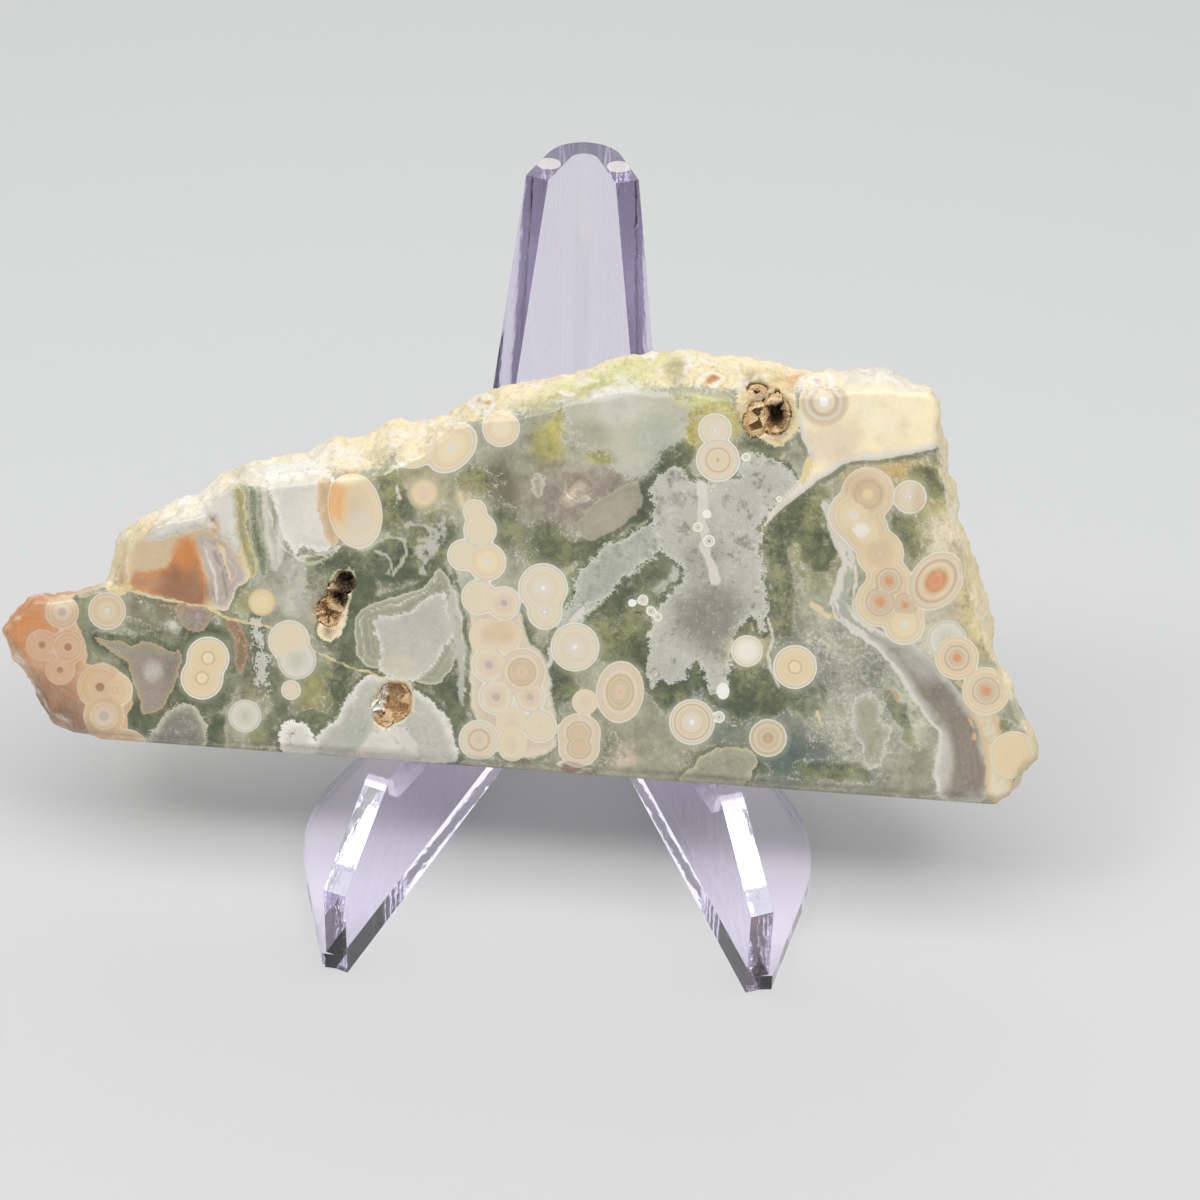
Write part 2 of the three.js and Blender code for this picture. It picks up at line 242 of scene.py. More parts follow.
def linear(colour):
    """A screen colour as the light that it stands for."""
    value = np.array(PALETTE[colour] if isinstance(colour, str) else colour, dtype=float) / 255.0
    return np.where(value <= 0.04045, value / 12.92, ((value + 0.055) / 1.055) ** 2.4)


# Soft washes of colour: middle, half width and half height in the picture, colour, strength and turn
# in degrees. A spot is the same without a colour.
Wash = namedtuple("Wash", "x y wide high colour strength turn", defaults=(1.0, 0))
Spot = namedtuple("Spot", "x y wide high strength turn", defaults=(1.0, 0))

# The ground, on plain grey green.
GROUND = {
    "left haze": Wash(100, 640, 40, 50, "pale_moss"),
    "brown under the block": Wash(150, 610, 34, 24, "dark_taupe", 0.9, 20),
    "green oval": Wash(156, 617, 17, 14, "soft_moss", 0.9),
    "pale spot": Wash(175, 628, 10, 8, "milk", 0.7),
    "base haze": Wash(215, 735, 90, 26, "pale_moss", 0.9),
    "grey above the lemon orb": Wash(285, 590, 40, 34, "smoke", 0.9),
    "tan above the lemon orb": Wash(272, 575, 14, 40, "taupe", 0.6, -10),
    "brown by the lemon orb": Wash(246, 601, 18, 18, "olive", 0.7),
    "grey right of the pale pair": Wash(285, 625, 26, 20, "taupe", 0.6),
    "olive glow": Wash(320, 690, 34, 38, "soft_moss"),
    "glow heart": Wash(314, 692, 18, 24, "olive", 0.9),
    "tan at the slit": Wash(318, 606, 12, 28, "tan", 0.5, 10),
    "yellow ground": Wash(408, 476, 44, 20, "olive", 0.5),
    "upper green": Wash(398, 500, 24, 32, "pale_moss", 0.8),
    "beige by the soft spot": Wash(424, 493, 26, 26, "beige", 0.6),
    "loop haze": Wash(385, 560, 30, 26, "smoke", 0.7),
    "band haze": Wash(455, 630, 24, 100, "smoke", 0.9),
    "lace by the neck": Wash(472, 488, 30, 26, "olive", 0.4),
    "neck cream": Wash(466, 500, 10, 18, "cream", 0.7),
    "dark taupe": Wash(505, 487, 24, 34, "dark_taupe", 0.95, -35),
    "taupe middle": Wash(535, 470, 30, 44, "taupe", 0.9, -10),
    "olive hollow": Wash(548, 442, 22, 26, "bright_olive", 0.95),
    "bright hollow": Wash(560, 424, 12, 18, "gold_moss", 0.6),
    "taupe field": Wash(580, 495, 62, 44, "lilac_grey", 0.8),
    "olive spot": Wash(594, 455, 14, 8, "bright_olive", 1.0, 20),
    "olive low": Wash(555, 545, 14, 22, "olive", 0.8),
    "pale field": Wash(628, 432, 66, 40, "pale_green"),
    "olive under band": Wash(625, 640, 26, 22, "olive", 0.8),
    "smoke": Wash(712, 560, 66, 110, "blue_grey"),
    "smoke top": Wash(760, 482, 46, 36, "blue_grey", 0.9),
    "dark smoke": Wash(705, 610, 40, 46, "slate", 0.75, 20),
    "yellow above": Wash(712, 425, 42, 32, "gold_moss"),
    "ground at the pocket": Wash(770, 440, 40, 24, "grey_green", 0.8),
    "green mass": Wash(805, 540, 50, 58, "olive", 0.75),
    "green tail": Wash(782, 590, 22, 60, "pale_moss", 0.9),
    "lower ground": Wash(740, 700, 70, 60, "teal", 0.7),
    "yellow by the bright orb": Wash(742, 640, 22, 24, "olive", 0.8),
    "teal base": Wash(785, 755, 50, 34, "teal"),
    "mottled field": Wash(852, 700, 64, 100, "smoke", 0.8, -10),
    "green rim of the field": Wash(905, 710, 22, 50, "pale_green", 0.8, -35),
    "slate in the field": Wash(808, 660, 26, 40, "slate", 0.7, -30),
    "teal in the field": Wash(815, 760, 26, 30, "teal", 0.6),
    "granular base": Wash(625, 750, 30, 26, "taupe", 0.8),
    "rosy base": Wash(622, 756, 18, 14, "rose", 0.6),
    "under the block": Wash(895, 472, 54, 16, "ochre", 1.0, -4),
    "right ground": Wash(925, 520, 34, 56, "olive", 0.85),
    "cream round the coral": Wash(940, 600, 34, 46, "ivory", 0.8, -20),
    "cream under the chain": Wash(925, 640, 30, 24, "ivory", 0.7, 30),
    "right green": Wash(945, 495, 14, 34, "bright_olive", 0.5),
    "pale flank": Wash(952, 548, 20, 36, "ivory", 0.9, -12),
    "right pale": Wash(970, 590, 20, 80, "lemon", 0.8, -14),
    "right yellow": Wash(968, 640, 22, 34, "lemon", 0.45, -12),
}

# Where moss grows through the ground, as washes; the strength is how densely it stands.
MOSS = {
    "left edge": Wash(88, 620, 22, 36, "soft_moss", 0.55),
    "under the star": Wash(108, 658, 22, 12, "moss", 0.6, 30),
    "star's foot": Wash(136, 718, 22, 30, "deep_moss", 0.9, -30),
    "twins' ring": Wash(205, 668, 42, 46, "deep_moss", 0.9),
    "twins' shade": Wash(196, 700, 36, 14, "deep_moss", 0.9),
    "over the twins": Wash(205, 632, 30, 12, "deep_moss", 0.85),
    "base strip": Wash(216, 735, 14, 26, "deep_moss", 0.9),
    "low middle": Wash(262, 735, 30, 22, "moss", 0.6),
    "by the oval": Wash(150, 630, 40, 12, "moss", 0.5, 10),
    "right of white lace": Wash(276, 690, 16, 40, "moss", 0.6),
    "glow's dark": Wash(342, 682, 14, 40, "moss", 0.7, 10),
    "glow's foot": Wash(312, 716, 24, 12, "moss", 0.7),
    "slit's left": Wash(318, 575, 16, 34, "moss", 0.45, 14),
    "slit's right": Wash(356, 596, 18, 40, "deep_moss", 0.85),
    "slit's foot": Wash(345, 636, 22, 26, "moss", 0.8),
    "slit's top": Wash(345, 560, 34, 14, "moss", 0.8),
    "loops": Wash(392, 562, 40, 28, "deep_moss", 0.8),
    "lace's ground": Wash(428, 545, 30, 40, "moss", 0.85, 30),
    "upper left of lace": Wash(396, 512, 24, 26, "moss", 0.75),
    "upper green": Wash(392, 485, 16, 30, "olive", 0.6),
    "upright": Wash(456, 620, 12, 80, "moss", 0.5),
    "upright foot": Wash(448, 690, 18, 34, "deep_moss", 0.8, -20),
    "chalcedony's right": Wash(461, 735, 12, 34, "deep_moss", 0.8),
    "neck": Wash(478, 480, 26, 22, "olive", 0.6),
    "right of the neck": Wash(505, 530, 24, 34, "soft_moss", 0.6),
    "over the cut orb": Wash(497, 408, 34, 14, "moss", 0.7),
    "between column and milk": Wash(522, 640, 16, 46, "moss", 0.7),
    "under the milk orbs": Wash(560, 686, 22, 30, "deep_moss", 0.9),
    "over the milk orbs": Wash(548, 545, 34, 30, "moss", 0.6),
    "field's lower line": Wash(600, 538, 60, 14, "deep_moss", 0.9, -32),
    "field's right": Wash(650, 495, 20, 40, "deep_moss", 0.95, 30),
    "field's top": Wash(668, 456, 36, 16, "deep_moss", 0.95, -20),
    "dark triangle": Wash(620, 620, 50, 34, "moss", 0.95, -30),
    "triangle's heart": Wash(612, 604, 34, 16, "deep_moss", 0.9, -35),
    "left of the smoke": Wash(654, 645, 22, 34, "deep_moss", 0.9, 20),
    "over the oval gold": Wash(625, 648, 34, 26, "moss", 0.8),
    "smoke's bay": Wash(656, 575, 26, 18, "deep_moss", 0.9, -20),
    "smoke's spot": Wash(720, 597, 9, 10, "moss", 0.95),
    "left of ringed": Wash(680, 468, 18, 10, "moss", 0.7),
    "olive band": Wash(250, 692, 11, 26, "dark_taupe"),
    "yellow glow": Wash(712, 420, 40, 26, "bright_olive", 0.3),
    "pocket's foot": Wash(765, 446, 34, 16, "moss", 0.8),
    "green mass": Wash(812, 515, 34, 32, "moss", 0.9),
    "mass's shade": Wash(822, 550, 26, 26, "deep_moss", 0.7),
    "mass's left": Wash(775, 545, 22, 40, "soft_moss", 0.9),
    "tail": Wash(782, 600, 20, 46, "soft_moss", 0.7),
    "by the bright orb": Wash(738, 640, 20, 30, "moss", 0.8),
    "lower": Wash(748, 690, 50, 34, "deep_moss", 0.95),
    "left of the round pale": Wash(672, 690, 26, 34, "moss", 0.9),
    "foot facet": Wash(720, 762, 44, 18, "soft_moss", 0.6),
    "teal foot": Wash(740, 762, 34, 14, "teal", 0.8, 20),
    "granular base": Wash(606, 750, 18, 26, "soft_moss", 0.45),
    "field": Wash(850, 690, 66, 90, "slate", 0.38),
    "field's green": Wash(903, 722, 12, 36, "soft_moss", 0.5, -30),
    "field's dark": Wash(802, 690, 20, 30, "teal", 0.8, -30),
    "field's foot": Wash(835, 775, 60, 14, "moss", 0.6),
    "under the block": Wash(905, 478, 46, 12, "ochre", 0.3, -4),
    "right ground": Wash(918, 538, 26, 30, "dark_taupe", 0.4),
    "right top": Wash(930, 480, 24, 20, "moss", 0.5),
    "right of the chain": Wash(900, 530, 14, 30, "moss", 0.6, -20),
    "under the coral oval": Wash(958, 650, 16, 30, "olive", 0.4),
    "tan edge's left": Wash(1000, 728, 16, 12, "olive", 0.6),
}

# Where fine white crystals cloud the ground and the patches, and how densely.
FROST = {
    "left tail": Spot(100, 640, 24, 14, 0.6, 20),
    "pale spot": Spot(176, 627, 10, 9, 0.8),
    "star's heart": Spot(153, 670, 14, 16, 0.6),
    "under the chalcedony": Spot(290, 568, 34, 22, 0.5),
    "above the foot": Spot(256, 720, 30, 20, 0.4),
    "upper": Spot(398, 490, 12, 24, 0.5),
    "neck": Spot(470, 500, 24, 30, 0.5),
    "lace": Spot(430, 542, 18, 34, 0.95, 30),
    "upright": Spot(456, 620, 14, 100, 0.9),
    "field's lace": Spot(588, 430, 24, 20, 0.5),
    "milk orbs' lace": Spot(520, 560, 24, 34, 0.4),
    "blue-grey stripe": Spot(615, 565, 70, 26, 0.5, -40),
    "smoke": Spot(710, 530, 60, 70, 0.45),
    "smoke's foot": Spot(690, 650, 40, 34, 0.5),
    "pocket's right": Spot(775, 445, 30, 20, 0.5),
    "mass's foot": Spot(806, 578, 16, 26, 0.7),
    "field": Spot(840, 690, 46, 80, 0.6, -14),
    "field's left": Spot(812, 625, 30, 36, 0.6),
    "granular base": Spot(620, 748, 30, 24, 0.5),
    "right ground": Spot(922, 545, 24, 22, 0.4),
    "agate's edge": Spot(826, 530, 10, 34, 0.6),
}

# Patches with a lacy edge: outline in the picture, colour at the edge and further in, how ragged
# the edge is in mm, colour and strength of the line on it, strength of the growth bands inside it,
# how grainy it is, how mossy the ground is just outside it and how softly it starts, in mm.
Patch = namedtuple(
    "Patch", "outline colour core lace line line_strength bands grain fringe soft", defaults=(0.12,)
)
PATCHES = {
    "peach tip": Patch(
        [(-10, 640), (0, 596), (40, 586), (74, 594), (77, 612), (81, 632), (87, 652), (84, 668), (108, 662),
         (128, 678), (133, 700), (124, 722), (140, 748), (92, 762), (40, 750), (10, 690)],
        "peach", "deep_peach", 0.1, "cream", 0.5, 0.12, 0.3, 0.6, 0.3,
    ),
    "tan corner": Patch(
        [(104, 598), (108, 556), (126, 536), (137, 545), (133, 570), (135, 593)],
        "lemon", "tan", 0.5, "cream", 0.4, 0.1, 0.6, 0.0,
    ),
    "beige block": Patch(
        [(131, 588), (126, 560), (140, 515), (175, 480), (236, 470), (240, 520), (246, 545),
         (250, 575), (246, 584), (236, 590), (233, 602), (229, 616), (207, 606), (167, 603)],
        "cream", "beige", 0.12, "milk", 0.9, 0.05, 0.2, 0.5,
    ),
    "block's pale top": Patch(
        [(136, 545), (160, 518), (196, 498), (236, 470), (240, 520), (246, 560), (232, 548),
         (215, 534), (200, 526), (185, 532), (160, 540)],
        "milk", "milk", 0.5, "snow", 0.0, 0.2, 0.1, 0.0, 2.2,
    ),
    "lilac bands": Patch(
        [(190, 528), (214, 536), (236, 558), (247, 578), (235, 590), (229, 606), (222, 612),
         (211, 600), (207, 580), (202, 556)],
        "lilac", "lilac", 0.15, "milk", 0.4, 0.5, 0.2, 0.0, 0.8,
    ),
    "orange wedge": Patch(
        [(184, 536), (192, 543), (198, 559), (205, 583), (208, 605), (188, 604), (167, 600), (150, 594),
         (131, 588), (131, 578), (152, 571), (168, 566), (175, 549)],
        "orange", "rust", 0.1, "cream", 0.4, 0.0, 0.1, 0.0, 0.4,
    ),
    "olive stripe": Patch(
        [(233, 484), (243, 484), (249, 520), (253, 545), (259, 572), (252, 582), (245, 560), (239, 530)],
        "olive", "taupe", 0.4, "lemon", 0.8, 0.1, 0.9, 0.0,
    ),
    "dark stripe": Patch(
        [(248, 480), (258, 484), (260, 515), (265, 540), (272, 568), (262, 580), (257, 560), (253, 530)],
        "moss", "deep_moss", 0.5, "pale_green", 0.7, 0.0, 0.8, 0.0,
    ),
    "milky band": Patch(
        [(261, 470), (282, 470), (286, 520), (284, 560), (274, 574), (268, 545), (264, 505)],
        "milk", "taupe", 0.4, "milk", 0.3, 0.2, 0.3, 0.0, 1.0,
    ),
    "white chalcedony": Patch(
        [(268, 474), (300, 466), (331, 470), (333, 500), (336, 530), (334, 546), (322, 553), (309, 549),
         (301, 546), (296, 558), (290, 548), (283, 540), (279, 520), (274, 500)],
        "milk", "milk", 0.5, "snow", 0.7, 0.3, 0.15, 0.3, 0.5,
    ),
    "chalcedony's tan edge": Patch(
        [(315, 482), (330, 478), (331, 505), (338, 530), (337, 546), (327, 543), (321, 520)],
        "peach", "tan", 0.6, "cream", 0.4, 0.1, 0.6, 0.2,
    ),
    "star": Patch(
        [(90, 638), (112, 641), (124, 640), (133, 647), (143, 638), (153, 641), (171, 650), (178, 646),
         (180, 660), (176, 678), (168, 697), (160, 708), (152, 715), (140, 714), (140, 697), (133, 683),
         (129, 669), (122, 656), (108, 647)],
        "taupe", "lilac_grey", 0.35, "tan", 0.9, 0.05, 0.5, 0.8,
    ),
    "grey corner": Patch(
        [(176, 606), (198, 604), (214, 612), (208, 628), (196, 632), (186, 631), (180, 620)],
        "plum", "lilac_grey", 0.5, "tan", 0.6, 0.2, 0.5, 0.4,
    ),
    "rust band": Patch(
        [(226, 619), (240, 624), (247, 640), (246, 664), (240, 680), (234, 668), (235, 645)],
        "rust", "dark_taupe", 0.6, "tan", 0.5, 0.1, 0.8, 0.5, 0.4,
    ),
    "white lace": Patch(
        [(250, 622), (263, 626), (268, 650), (268, 674), (264, 690), (257, 682), (258, 655)],
        "smoke", "milk", 2.0, "snow", 0.4, 0.0, 0.9, 0.6, 0.3,
    ),
    "grey foot": Patch(
        [(140, 754), (152, 725), (168, 708), (190, 704), (201, 716), (206, 735), (198, 754)],
        "pale_moss", "slate", 0.8, "milk", 0.6, 0.1, 0.6, 0.8, 0.3,
    ),
    "white foot": Patch(
        [(278, 736), (284, 722), (296, 717), (308, 726), (316, 742), (318, 758), (286, 756)],
        "snow", "milk", 1.0, "snow", 0.3, 0.0, 0.7, 0.6,
    ),
    "agate round the middle": Patch(
        [(355, 664), (354, 620), (363, 606), (392, 600), (414, 592), (432, 580), (444, 562), (458, 600),
         (464, 640), (450, 668), (440, 690), (400, 672)],
        "pale_moss", "grey_green", 0.2, "milk", 0.7, 0.35, 0.5, 0.7, 0.3,
    ),
    "middle chalcedony": Patch(
        [(371, 622), (387, 615), (405, 611), (424, 602), (441, 585), (449, 606), (454, 633), (442, 652),
         (428, 676), (412, 682), (387, 677), (377, 668), (381, 650), (373, 636)],
        "smoke", "smoke", 0.7, "snow", 0.75, 0.1, 0.2, 0.5, 0.6,
    ),
    "lower chalcedony": Patch(
        [(300, 768), (318, 735), (334, 719), (347, 703), (363, 676), (379, 672), (402, 680), (424, 692),
         (440, 708), (450, 730), (456, 768)],
        "milk", "smoke", 0.8, "snow", 0.75, 0.3, 0.2, 0.7, 0.6,
    ),
    "ground of the column": Patch(
        [(466, 590), (500, 590), (523, 604), (526, 640), (546, 656), (552, 690), (558, 720), (556, 756),
         (492, 756), (478, 722), (470, 690), (468, 650), (472, 625)],
        "ivory", "rose", 0.4, "milk", 0.5, 0.2, 0.15, 0.5, 0.6,
    ),
    "whitened foot": Patch(
        [(350, 768), (368, 740), (392, 724), (414, 732), (424, 768)],
        "milk", "milk", 0.9, "milk", 0.1, 0.2, 0.4, 0.0,
    ),
    "crust patch": Patch(
        [(558, 500), (566, 486), (580, 474), (592, 477), (594, 490), (582, 496), (570, 506)],
        "dark_taupe", "rose", 0.5, "rose", 0.3, 0.0, 1.0, 0.0, 0.4,
    ),
    "lens": Patch(
        [(574, 526), (590, 505), (615, 492), (636, 480), (643, 498), (630, 518), (608, 532), (590, 540)],
        "taupe", "taupe", 0.3, "pale_green", 0.4, 0.1, 0.1, 0.2, 0.7,
    ),
    "whisker": Patch(
        [(530, 480), (536, 472), (544, 474), (546, 488), (540, 500), (533, 494)],
        "taupe", "taupe", 0.7, "milk", 0.5, 0.4, 0.2, 0.0, 0.5,
    ),
    "crust round the top pocket": Patch(
        [(740, 388), (750, 378), (765, 376), (784, 386), (797, 404), (797, 428), (786, 442), (770, 443),
         (756, 434), (744, 420), (741, 404)],
        "lemon", "tan", 0.9, "butter", 0.5, 0.0, 1.0, 0.4, 0.5,
    ),
    "rim of the slit": Patch(
        [(318, 628), (322, 606), (330, 590), (333, 572), (346, 566), (356, 574), (354, 592), (348, 606),
         (343, 630), (328, 640)],
        "butter", "tan", 0.5, "butter", 0.6, 0.0, 0.7, 0.5, 0.4,
    ),
    "rim of the middle pocket": Patch(
        [(374, 690), (384, 680), (400, 677), (416, 684), (418, 706), (408, 722), (390, 728), (372, 734),
         (376, 712)],
        "ivory", "tan", 0.5, "butter", 0.5, 0.0, 0.7, 0.0, 0.4,
    ),
    "pale field": Patch(
        [(566, 396), (600, 392), (688, 392), (690, 420), (682, 436), (664, 447), (650, 468), (634, 478),
         (614, 468), (600, 450), (576, 442), (564, 424)],
        "smoke", "pale_green", 1.0, "milk", 0.4, 0.1, 0.15, 0.3, 1.6,
    ),
    "blue-grey stripe": Patch(
        [(670, 520), (645, 528), (612, 542), (588, 558), (576, 575), (573, 600), (560, 628), (548, 662),
         (562, 650), (578, 628), (592, 606), (612, 590), (632, 574), (660, 553), (680, 545)],
        "mist", "mist", 1.2, "snow", 0.6, 0.1, 0.9, 0.8, 0.8,
    ),
    "big smoke": Patch(
        [(650, 478), (680, 462), (690, 478), (700, 484), (735, 482), (743, 456), (770, 455), (782, 466),
         (798, 474), (790, 491), (773, 502), (759, 524), (757, 552), (760, 580), (766, 600), (766, 640),
         (752, 610), (738, 618), (728, 650), (725, 698), (704, 690), (700, 660), (686, 664), (676, 684),
         (660, 676), (652, 690), (648, 640), (660, 612), (676, 590), (690, 566), (664, 552), (650, 528),
         (655, 500)],
        "smoke", "smoke", 1.4, "snow", 0.6, 0.0, 1.0, 0.8, 0.9,
    ),
    "cream block": Patch(
        [(800, 400), (806, 380), (960, 372), (950, 440), (936, 448), (918, 452), (890, 458), (857, 460),
         (834, 469), (812, 486), (790, 500), (768, 520), (760, 528), (775, 506), (798, 482), (808, 460),
         (803, 441), (796, 420)],
        "milk", "butter", 0.1, "snow", 0.5, 0.1, 0.1, 0.5, 0.6,
    ),
    "tan crest": Patch(
        [(800, 474), (806, 452), (812, 462), (810, 476), (804, 486)],
        "lemon", "lemon", 0.3, "lemon", 0.3, 0.0, 0.4, 0.0,
    ),
    "foot facet": Patch(
        [(670, 784), (690, 764), (712, 748), (735, 744), (762, 756), (752, 776), (742, 788)],
        "pale_moss", "grey_green", 0.4, "cream", 0.5, 0.1, 0.8, 0.5,
    ),
    "green in the field": Patch(
        [(852, 700), (872, 690), (886, 715), (890, 745), (880, 772), (862, 766), (856, 730)],
        "mist", "pale_moss", 1.2, "milk", 0.8, 0.0, 0.4, 0.3, 0.3,
    ),
    "plum zone": Patch(
        [(836, 600), (850, 604), (858, 616), (872, 628), (892, 640), (912, 642), (936, 664), (958, 690),
         (974, 716), (985, 745), (992, 804), (938, 804), (934, 770), (940, 735), (924, 710), (908, 688),
         (893, 666), (879, 650), (858, 634), (842, 620)],
        "smoke", "plum", 0.3, "milk", 0.5, 0.1, 0.3, 0.3, 0.5,
    ),
    "pink flank": Patch(
        [(958, 676), (975, 682), (990, 700), (1000, 730), (1012, 775), (1016, 804), (985, 804), (984, 760),
         (972, 716)],
        "peach", "ivory", 0.5, "cream", 0.5, 0.2, 0.3, 0.0, 0.8,
    ),
}

# Washes over the ground and the patches alike.
TINTS = {
    "orange of the tip": Wash(26, 628, 38, 30, "orange", 0.95),
    "brown under the tip": Wash(52, 700, 34, 30, "rust", 0.7, 30),
    "brown low left": Wash(80, 722, 34, 20, "brown", 0.6, 30),
    "pale by the first orb": Wash(74, 612, 12, 16, "ivory", 0.5),
    "upper pit of the bands": Wash(213, 524, 7, 9, "tan", 0.9, -20),
    "lower pit of the bands": Wash(219, 544, 4, 9, "tan", 0.8),
    "wedge tip": Wash(184, 552, 14, 20, "orange", 0.8),
    "wedge left": Wash(146, 582, 22, 12, "deep_peach", 0.6),
    "star's right": Wash(173, 668, 14, 30, "plum"),
    "star's heart": Wash(153, 670, 11, 13, "milk", 0.45),
    "star's brown": Wash(140, 646, 30, 8, "taupe", 0.6),
    "glow round the bright orb": Wash(744, 645, 30, 28, "lemon", 0.55),
    "bright block": Wash(888, 412, 36, 24, "snow", 0.4),
    "yellow block": Wash(905, 408, 44, 34, "butter", 0.5),
    "pink of the block": Wash(834, 443, 34, 24, "rose", 0.7),
    "cloud in the pale field": Wash(622, 412, 34, 20, "milk", 0.55, -10),
    "green in the pale field": Wash(588, 436, 24, 20, "pale_moss", 0.8),
    "grey in the pale field": Wash(655, 436, 26, 26, "mist", 0.6),
    "olive under the pale field": Wash(602, 457, 18, 9, "olive", 0.95, 15),
    "pale rim over the field": Wash(690, 398, 24, 9, "lime", 0.85, 4),
    "white crest over the field": Wash(612, 393, 36, 9, "snow", 0.7, -4),
    "tan under the block": Wash(852, 477, 16, 7, "ochre", 0.8, -12),
    "pale ground on the right": Wash(945, 542, 28, 38, "ivory", 0.75, -12),
    "ochre by the top pocket": Wash(747, 405, 12, 24, "ochre", 0.8),
    "grey in the lower chalcedony": Wash(356, 728, 16, 26, "mist", 0.7, 20),
    "lilac of the lens": Wash(612, 514, 34, 20, "lilac", 0.5, -30),
    "olive by the white lace": Wash(250, 692, 8, 16, "dark_taupe", 0.8),
    "wedge's right": Wash(189, 568, 10, 20, "rust", 0.4),
    "lilac of the plum zone": Wash(918, 660, 30, 20, "smoke", 0.6, 40),
    "pale by the agate line": Wash(942, 760, 12, 40, "milk", 0.6),
    "dark smoke": Wash(708, 616, 40, 44, "slate", 0.85, 15),
    "dark smoke above": Wash(704, 556, 26, 26, "slate", 0.35),
    "white of the lower chalcedony": Wash(388, 735, 22, 22, "snow", 0.2),
    "cream veil": Wash(400, 666, 24, 14, "ivory", 0.5, 20),
    "dark foot of the wedge": Wash(184, 596, 36, 18, "rust", 0.9),
    "orange of the wedge": Wash(186, 556, 16, 24, "orange", 0.7),
    "yellow glow of the block": Wash(900, 405, 30, 22, "butter", 0.5),
}

# Narrow veins and streaks: points in the picture, width in pixels, colour, ragged edge in pixels.
Vein = namedtuple("Vein", "points width colour rag", defaults=(1.5,))
VEINS = {
    "old crack": Vein(
        [(113, 588), (133, 591), (167, 602), (207, 606), (229, 621), (252, 625), (274, 628),
         (312, 647), (333, 658), (362, 668), (386, 680)], 1.8, "lemon",
    ),
    "cream streak": Vein([(216, 536), (222, 556), (229, 583)], 4.5, "cream"),
    "lilac streak": Vein([(203, 545), (212, 575), (218, 604)], 2.5, "milk"),
    "dark lilac streak": Vein([(212, 548), (221, 575), (226, 598)], 3.0, "lilac_grey"),
    "inner agate line": Vein(
        [(362, 664), (360, 622), (370, 611), (400, 604), (424, 592), (440, 576)], 1.4, "milk",
    ),
    "upright band": Vein([(450, 600), (456, 640), (460, 670), (464, 700)], 9.0, "smoke", 5.0),
    "upright line": Vein([(453, 560), (460, 600), (466, 650), (469, 704)], 1.6, "milk"),
    "lobes' line": Vein([(702, 486), (704, 500), (702, 524), (706, 548), (716, 580)], 9.0, "milk", 5.0),
    "stripe's lower line": Vein(
        [(690, 538), (664, 554), (640, 570), (612, 592), (590, 612), (570, 636)],
        1.8, "pale_green", 3.0,
    ),
    "field's contour": Vein(
        [(652, 478), (660, 500), (650, 518), (625, 532), (600, 546), (582, 566)], 1.8, "pale_moss", 4.0,
    ),
    "dark upright line": Vein([(456, 564), (462, 600), (468, 645), (470, 704)], 2.2, "moss"),
    "lace diagonal": Vein([(444, 518), (436, 538), (427, 556), (424, 572)], 4.0, "smoke", 9.0),
    "lace branch": Vein([(406, 528), (420, 524), (432, 530), (441, 524)], 3.0, "smoke", 7.0),
    "short lace": Vein([(397, 486), (398, 497), (396, 508)], 3.5, "milk", 3.5),
    "loop one": Vein(
        [(358, 552), (372, 546), (390, 538), (405, 541), (408, 552), (402, 566), (392, 575)],
        2.6, "pale_green", 2.0,
    ),
    "loop two": Vein([(374, 552), (386, 556), (392, 566), (386, 574)], 2.2, "smoke", 2.0),
    "line under the long orb": Vein(
        [(298, 560), (308, 564), (322, 560), (334, 552), (342, 544), (352, 546), (362, 552)],
        2.4, "pale_green",
    ),
    "line round the white": Vein(
        [(270, 510), (276, 536), (286, 552), (298, 560), (312, 556), (326, 553), (338, 546)],
        2.0, "milk",
    ),
    "whisker one": Vein([(513, 572), (520, 558), (536, 548)], 1.6, "smoke"),
    "whisker two": Vein([(519, 574), (528, 560), (540, 550)], 1.4, "smoke"),
    "white streak": Vein([(588, 604), (572, 622), (556, 640), (549, 664)], 5.0, "milk", 4.0),
    "wisps": Vein([(768, 618), (772, 640), (767, 655), (772, 672), (778, 688)], 3.2, "milk"),
    "tongue's edge": Vein([(800, 478), (776, 506), (761, 528), (757, 556)], 2.4, "milk"),
    "agate band": Vein(
        [(828, 502), (833, 522), (842, 544), (850, 564), (846, 586), (840, 602), (850, 616),
         (866, 630)], 12.0, "mist", 3.0,
    ),
    "agate band's outer line": Vein(
        [(826, 506), (829, 522), (838, 544), (845, 566), (839, 586), (833, 602), (839, 619),
         (859, 634), (879, 650), (893, 667), (907, 689), (923, 711), (939, 732), (937, 748),
         (934, 770), (940, 798)], 3.6, "milk", 2.5,
    ),
    "agate band's inner line": Vein(
        [(838, 520), (851, 548), (859, 574), (854, 596), (858, 614), (872, 628), (892, 640),
         (914, 642)], 3.0, "milk",
    ),
    "broken foot": Vein([(560, 764), (574, 767), (590, 770)], 4.0, "snow", 3.0),
    "rust under it": Vein([(562, 770), (588, 775)], 3.0, "rust", 3.0),
    "rust on the column": Vein([(488, 622), (500, 626), (512, 634), (516, 646)], 1.6, "apricot", 4.0),
    "orange streak": Vein([(957, 676), (964, 700), (972, 740)], 3.0, "peach", 4.0),
    "tan spot": Vein([(816, 608), (830, 616)], 7.0, "cream", 6.0),
    "second tan spot": Vein([(886, 688), (896, 702)], 6.0, "tan", 5.0),
    "third tan spot": Vein([(816, 712), (822, 730)], 3.0, "cream", 5.0),
}

